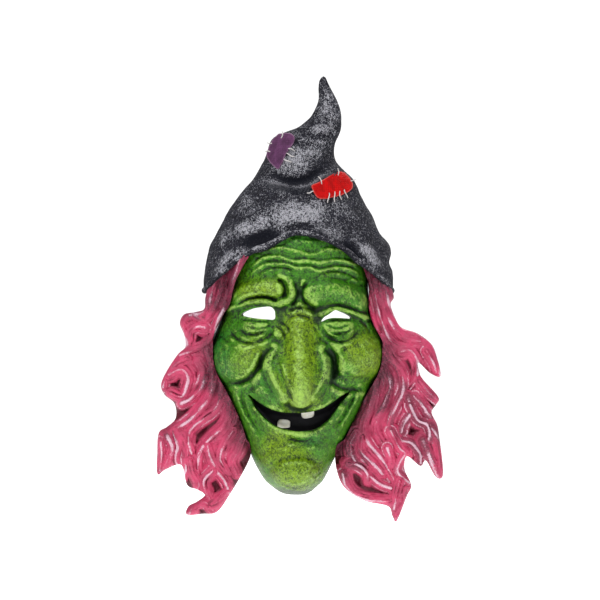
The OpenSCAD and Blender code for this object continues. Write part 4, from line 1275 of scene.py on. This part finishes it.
def build_hair(side, outline, root, ridges, node):
    """One cast hair piece, whose locks follow its ridges. side is -1 or 1."""
    face_side = [(float(side * face_half(z) * 0.965 + face_lean(z)), z) for z in np.arange(-112, -22, 10.0)]
    x, z, quads, _ = outline_grid(smooth_line(outline + face_side + root, True, 6), 0.85)
    mid, s = hair_middle(x, z)
    open_edge = nearest(x, z, smooth_line(outline, False, 5))[0]
    round_edge = np.sqrt(np.clip(1 - (1 - np.clip(open_edge / 7, 0, 1)) ** 2, 0, 1))
    # Each point belongs to the lock that stands highest there, and knows its place across and along it
    lock, strand, which, flow = np.full(x.shape, -9.0), np.full(x.shape, 1e9), np.zeros(x.shape), np.zeros(x.shape)
    for n, ridge in enumerate(ridges):
        fine = smooth_line(ridge, False, 5)
        dist, t, hand, _, _ = nearest(x, z, fine)
        length = np.hypot(*np.diff(fine, axis=0).T).sum()
        wide = 10.0 - 3.4 * t
        top = (1.7 - 0.6 * t) * (1 + 0.12 * math.sin(7.3 * n)) * sizes().hair_ridge / MM
        value = top * (1 - (dist / wide) ** 1.5)
        better = value > lock
        lock = np.where(better, value, lock)
        strand = np.where(better, dist * hand, strand)
        flow = np.where(better, t * length, flow)
        which = np.where(better, n, which)
    streak = lumps(strand / 1.5 + 40 * which, flow / 13, 7 * which, 1.0, 48, 3)
    lock = soft_max(lock, 2.2 * streak - 3.2, 1.0)
    wave = np.cos(2 * math.pi * (strand + 1.2 * streak) / 3.1)
    strand = np.abs(strand)
    fine = 0.55 * wave * np.exp(-strand / 20) + 1.7 * streak
    swell = 3.0 * lumps(x, 0 * x, z, 34, 51, 2)
    front = (5.5 + swell + lock + fine) * (0.25 + 0.75 * round_edge) + 1.0
    # The back is flat where it is glued to the face, and has shallow locks beside it
    back = (2.0 + (5.0 - swell) * smooth_step(s, 0.95, 1.04)) * (0.2 + 0.8 * round_edge)
    back = back + (0.3 * lock + 0.5 * fine) * smooth_step(s, 1.0, 1.05) * round_edge
    back = np.where(s < 0.93, 1.0, back)
    outer = np.stack([x, mid - front, z], -1)
    inner = np.stack([x, mid + back, z], -1)
    patchy = smooth_step(lumps(x + 30 * which, 0 * x, z, 16, 46, 2) + 0.5 * streak, -0.35, 0.45)
    high = np.exp(-(((strand - 1.2 * streak) / 1.25) ** 2)) * (0.3 + 0.7 * patchy)
    high = high + 0.75 * np.exp(-(((strand - 4.7 - 1.6 * streak) / 0.8) ** 2)) * patchy
    high = high + 0.35 * np.clip(streak, 0, 1) * patchy
    deep = np.clip(1.1 * smooth_step(-lock, -3.4, 2.4) + 1.1 * np.clip(-streak - 0.1, 0, 1), 0, 1)
    # Painted shade at the top under the hat and along the face by the jaw, and grey smoky patches near the crests
    shade_under_hat = smooth_step(z, -10, 38)
    shade_by_jaw = np.exp(-(nearest(x, z, face_side)[0] / 13) ** 2)
    cloud = smooth_step(lumps(x, 0 * x, z, 26, 44, 2) + 0.5 * streak, 0.0, 0.45)
    smoke = np.clip(0.75 * shade_under_hat + shade_by_jaw + 0.8 * cloud * smooth_step(-strand, -7, -1.5), 0, 1)
    marks = {"deep": deep, "high": high * (1 - 0.5 * shade_under_hat) * (1 - 0.8 * shade_by_jaw), "smoke": smoke}
    piece = skin(node + "_locks", outer, inner, quads, marks)
    material = bpy.data.materials.get("hair_paint") or hair_paint()
    dress(piece, material, material)
    # The back is painted like the front, with less dry brushing
    mesh = piece.data
    n = len(mesh.vertices) // 2
    for mark, share in (("deep", 1.0), ("high", 0.35), ("smoke", 1.0)):
        values = np.zeros(2 * n, np.float32)
        mesh.attributes[mark].data.foreach_get("value", values)
        values[n:] = share * values[:n]
        mesh.attributes[mark].data.foreach_set("value", values)
    finish_piece(piece, "mask", [node])


# ---------------------------------------------------------------- tabs, rivets and strap


def metal(name, colour):
    """Lightly brushed metal in one of the mask's colours."""
    p = Paint(name, metallic=1.0)
    fine = p.noise(0.3, 3)
    base = p.mix(fine, tone(colour), tone(colour, 0.75))
    return p.finish(base, p.between(fine, 0.3, 0.7, 0.22, 0.4), fine, 0.05, 0.4)


def build_hardware():
    """Gives the tabs, rivets, washers, eyelets and slider their finishes."""
    nodes = frame["nodes"]
    latex = bpy.data.materials["raw_latex"]
    steel, brass = metal("rivet_metal", "steel"), metal("eyelet_metal", "brass")
    plastic = Paint("slider_plastic", roughness=0.38)
    grain = plastic.noise(0.5, 3)
    black = plastic.finish(plastic.mix(grain, (0.010, 0.010, 0.011), (0.018, 0.018, 0.020)), None, grain, 0.06, 0.5)
    for side in ("left", "right"):
        for name, material in (("side_tab_", latex), ("rivet_", steel), ("washers_", steel), ("eyelet_", brass)):
            dress(nodes[name + side], material)
    dress(nodes["strap_slider"], black)


# The strap's height, width and thickness, the rivet's y, the corners' radius and how far each half
# runs past the middle of the back
STRAP_Z, STRAP_WIDE, STRAP_THICK, RIVET_Y, STRAP_CORNER, STRAP_LAP = 30.0, 14.0, 1.2, 9.0, 25.0, 31.0
BORE_RADIUS = 2.75
# Points along the strap's round end
ROUND_END = 16


def strap_path(side, reach, back):
    """The strap's middle line from its round end at the rivet to its free end behind the head. reach and
    back are the x and y of its outer faces."""
    x0, yb, r = reach - STRAP_THICK / 2, back - STRAP_THICK / 2, STRAP_CORNER - STRAP_THICK / 2
    end = STRAP_WIDE / 2
    path = [(x0, y) for y in RIVET_Y - end * np.cos(np.linspace(0, math.pi / 2, ROUND_END))]
    path += [(x0, y) for y in np.linspace(RIVET_Y, yb - r, 26)[1:]]
    path += [(x0 - r + r * math.cos(t), yb - r + r * math.sin(t)) for t in np.linspace(0, math.pi / 2, 40)[1:]]
    path += [(x, yb) for x in np.linspace(x0 - r, -STRAP_LAP, 110)[1:]]
    return np.array([(side * x, y) for x, y in path])


def strap_paint():
    """Black ribbed elastic, with a painted highlight on its ribs."""
    band = Paint("strap_elastic", roughness=0.85, specular=0.3)
    fuzz = band.noise(0.25, 3)
    rows = band.math("SINE", band.times(band.mark("length"), 2 * math.pi / 0.9))
    # Painted highlight on the ribs' crests and along the rows
    lit = band.between(band.plus(band.mark("knit"), rows, 0.25), -0.4, 1.0)
    colour = band.mix(lit, tone("elastic"), tone("elastic", 2.6))
    return band.finish(colour, None, band.plus(band.times(rows, 0.5), fuzz), 0.18)


def build_strap():
    """The two ribbed halves of the elastic, each with a round end and a hole for its eyelet."""
    material = strap_paint()
    for side, node in ((-1, "strap_left"), (1, "strap_right")):
        low, high = (np.array(v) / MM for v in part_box(node))
        reach = max(abs(low[0]), abs(high[0]))
        path = strap_path(side, reach, high[1])
        along = np.gradient(path, axis=0)
        along /= np.linalg.norm(along, axis=1)[:, None]
        out = np.stack([along[:, 1], -along[:, 0]], 1) * side
        half = np.full(len(path), STRAP_WIDE / 2)
        end = np.clip(np.abs(RIVET_Y - path[:ROUND_END, 1]) / half[0], 0, 1)
        half[:ROUND_END] *= np.sqrt(np.clip(1 - end**2, 0.004, 1))
        v = np.linspace(-1, 1, 57)
        rib = 0.5 + 0.5 * np.cos(2 * math.pi * v * 5)
        depth = (STRAP_THICK / 2 - 0.14 * (1 - rib)) * np.clip((1 - v**2) * 14, 0, 1) ** 0.5
        depth = np.maximum(depth, 0.16)
        z = STRAP_Z + half[:, None] * v[None, :]
        rings = []
        for sign, order in ((1, slice(None)), (-1, slice(None, None, -1))):
            p = path[:, None] + sign * depth[None, :, None] * out[:, None]
            rings.append(np.stack([p[..., 0], p[..., 1], z], -1)[:, order])
        ring = np.concatenate(rings, 1)
        sides = ring.shape[1]
        # The right half is a mirror image, so its faces are turned round
        faces = grid_quads(len(path), sides, wrap=True)
        faces = (faces if side < 0 else faces[:, ::-1]).tolist()
        first, last = list(range(sides)), list(range((len(path) - 1) * sides, len(path) * sides))
        faces += [first, last[::-1]] if side < 0 else [first[::-1], last]
        piece = new_object(node + "_band", ring.reshape(-1, 3) * MM, faces)
        length = np.concatenate([[0], np.cumsum(np.linalg.norm(np.diff(path, axis=0), axis=1))])
        write_mark(piece.data, "knit", np.tile(np.concatenate([rib, rib[::-1]]), len(path)))
        write_mark(piece.data, "length", np.repeat(length, sides))
        alone(piece)
        bpy.ops.object.mode_set(mode="EDIT")
        bpy.ops.mesh.select_all(action="SELECT")
        bpy.ops.mesh.normals_make_consistent(inside=False)
        bpy.ops.object.mode_set(mode="OBJECT")
        bore_out(piece, side * reach, RIVET_Y, STRAP_Z, BORE_RADIUS)
        shade(piece, 40)
        dress(piece, material)
        finish_piece(piece, "strap", [node])


def bore_out(piece, x, y, z, radius):
    """Cuts a round hole along X through a piece."""
    alone(piece)
    bpy.ops.mesh.primitive_cylinder_add(
        vertices=64, radius=radius * MM, depth=8 * MM, location=(x * MM, y * MM, z * MM), rotation=(0, math.pi / 2, 0)
    )
    cutter = bpy.context.active_object
    alone(piece)
    hole = piece.modifiers.new("Hole", "BOOLEAN")
    hole.operation, hole.solver, hole.object = "DIFFERENCE", "EXACT", cutter
    bpy.ops.object.modifier_apply(modifier=hole.name)
    bpy.data.objects.remove(cutter)


# ---------------------------------------------------------------- the stage


# Metres
FLOOR_RADIUS, FLOOR_Z = 12, -0.27
# Name, place in metres, size in metres, watts
LAMPS = (
    ("key", (-0.7, -1.5, 1.5), 0.5, 27), ("fill", (1.5, -1.6, 0.4), 1.0, 6), ("top", (0.1, -0.1, 1.7), 0.8, 12),
    ("rear", (0.6, 1.7, 1.2), 1.0, 16),
)


def build_stage():
    """A glowing paper floor, a white studio, four soft lamps and the camera."""
    scene = bpy.context.scene
    floor_paint = Paint("studio_paper", roughness=0.9, specular=0.1)
    material = floor_paint.finish((0.86, 0.86, 0.86))
    # The paper glows a little, so that it stays pale far from the lamps
    floor_paint.shader.inputs["Emission Color"].default_value = (1, 1, 1, 1)
    floor_paint.shader.inputs["Emission Strength"].default_value = 0.68
    bpy.ops.mesh.primitive_circle_add(vertices=96, radius=FLOOR_RADIUS, fill_type="NGON", location=(0, 0, FLOOR_Z))
    floor = bpy.context.active_object
    floor.name = "floor"
    dress(floor, material)
    scene.view_settings.view_transform = "Standard"
    scene.view_settings.look = "Medium High Contrast"
    world = scene.world or bpy.data.worlds.new("studio")
    scene.world = world
    world.use_nodes = True
    tree = world.node_tree
    tree.nodes["Background"].inputs["Color"].default_value = (1.0, 1.0, 1.0, 1.0)
    # Seen directly the studio is white, and it lights the mask more softly
    path = tree.nodes.new("ShaderNodeLightPath")
    level = tree.nodes.new("ShaderNodeMapRange")
    level.inputs["To Min"].default_value, level.inputs["To Max"].default_value = 0.3, 0.95
    tree.links.new(path.outputs["Is Camera Ray"], level.inputs["Value"])
    tree.links.new(level.outputs[0], tree.nodes["Background"].inputs["Strength"])
    for name, where, size, power in LAMPS:
        light = bpy.data.lights.new(name, "AREA")
        light.size, light.energy = size, power
        lamp = bpy.data.objects.new(name, light)
        scene.collection.objects.link(lamp)
        lamp.location = where
        lamp.rotation_euler = (-Vector(where)).to_track_quat("-Z", "Y").to_euler()
    camera = bpy.data.cameras.new("camera")
    camera.lens, camera.sensor_width = 160, 36
    camera.clip_start, camera.clip_end = 0.1, 50
    eye = bpy.data.objects.new("camera", camera)
    scene.collection.objects.link(eye)
    eye.location = (2.25 * MM, -sizes().camera, 11.7 * MM)
    eye.rotation_euler = (math.pi / 2, 0, 0)
    scene.camera = eye


# ---------------------------------------------------------------- the add-on


class MASK_OT_face(bpy.types.Operator):
    """Build the cast face skin"""

    bl_idname = "mask.face"
    bl_label = "Face"

    def execute(self, context):
        build_face()
        return {"FINISHED"}


class MASK_OT_lining(bpy.types.Operator):
    """Build the black lining behind the mouth"""

    bl_idname = "mask.lining"
    bl_label = "Mouth lining"

    def execute(self, context):
        build_liner()
        return {"FINISHED"}


class MASK_OT_teeth(bpy.types.Operator):
    """Build the two teeth"""

    bl_idname = "mask.teeth"
    bl_label = "Teeth"

    def execute(self, context):
        build_teeth()
        return {"FINISHED"}


class MASK_OT_hat(bpy.types.Operator):
    """Build the hat's shell and its rolled hem"""

    bl_idname = "mask.hat"
    bl_label = "Hat"

    def execute(self, context):
        build_hat()
        build_hem()
        return {"FINISHED"}


class MASK_OT_patches(bpy.types.Operator):
    """Build the red and purple patches and their loose stitches"""

    bl_idname = "mask.patches"
    bl_label = "Patches and stitches"

    def execute(self, context):
        red_worn, mauve_worn = (0.60, 0.12, 0.10), (0.26, 0.16, 0.24)
        build_patch("red_patch_piece", RED_PATCH, tone("red"), red_worn, "patch_red", "red_patch")
        build_patch("purple_patch_piece", PURPLE_PATCH, tone("mauve"), mauve_worn, "patch_purple", "purple_patch")
        build_stitches()
        return {"FINISHED"}


class MASK_OT_hair(bpy.types.Operator):
    """Build the two hair pieces"""

    bl_idname = "mask.hair"
    bl_label = "Hair"

    def execute(self, context):
        build_hair(-1, LEFT_HAIR, LEFT_ROOT, LEFT_RIDGES, "hair_left")
        build_hair(1, RIGHT_HAIR, RIGHT_ROOT, RIGHT_RIDGES, "hair_right")
        return {"FINISHED"}


class MASK_OT_hardware(bpy.types.Operator):
    """Finish the tabs, rivets, washers, eyelets and slider"""

    bl_idname = "mask.hardware"
    bl_label = "Tabs and rivets"

    def execute(self, context):
        build_hardware()
        return {"FINISHED"}


class MASK_OT_strap(bpy.types.Operator):
    """Build the ribbed elastic strap"""

    bl_idname = "mask.strap"
    bl_label = "Strap"

    def execute(self, context):
        build_strap()
        return {"FINISHED"}


class MASK_OT_stage(bpy.types.Operator):
    """Set up the floor, lights and camera"""

    bl_idname = "mask.stage"
    bl_label = "Stage"

    def execute(self, context):
        build_stage()
        return {"FINISHED"}


class MASK_PT_panel(bpy.types.Panel):
    bl_label = "Witch Mask"
    bl_idname = "MASK_PT_panel"
    bl_space_type = "VIEW_3D"
    bl_region_type = "UI"
    bl_category = "Witch Mask"

    def draw(self, context):
        column = self.layout.column()
        for group in (context.scene.witch_mask_sizes, context.scene.witch_mask_colours):
            for name in group.__annotations__:
                column.prop(group, name)
        for step in STEPS:
            column.operator(step.bl_idname)


STEPS = (
    MASK_OT_face, MASK_OT_lining, MASK_OT_teeth, MASK_OT_hat, MASK_OT_patches, MASK_OT_hair, MASK_OT_hardware,
    MASK_OT_strap, MASK_OT_stage,
)
CLASSES = (WitchMaskSizes, WitchMaskColours, *STEPS, MASK_PT_panel)


def register():
    for c in CLASSES:
        bpy.utils.register_class(c)
    bpy.types.Scene.witch_mask_sizes = bpy.props.PointerProperty(type=WitchMaskSizes)
    bpy.types.Scene.witch_mask_colours = bpy.props.PointerProperty(type=WitchMaskColours)


def unregister():
    del bpy.types.Scene.witch_mask_colours
    del bpy.types.Scene.witch_mask_sizes
    for c in reversed(CLASSES):
        bpy.utils.unregister_class(c)


def main():
    register()
    for o in list(bpy.context.view_layer.objects):
        o.select_set(False)
    bpy.ops.mask.face()
    bpy.ops.mask.lining()
    bpy.ops.mask.teeth()
    bpy.ops.mask.hat()
    bpy.ops.mask.patches()
    bpy.ops.mask.hair()
    bpy.ops.mask.hardware()
    bpy.ops.mask.strap()
    bpy.ops.mask.stage()
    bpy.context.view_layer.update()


if __name__ == "__main__":
    main()
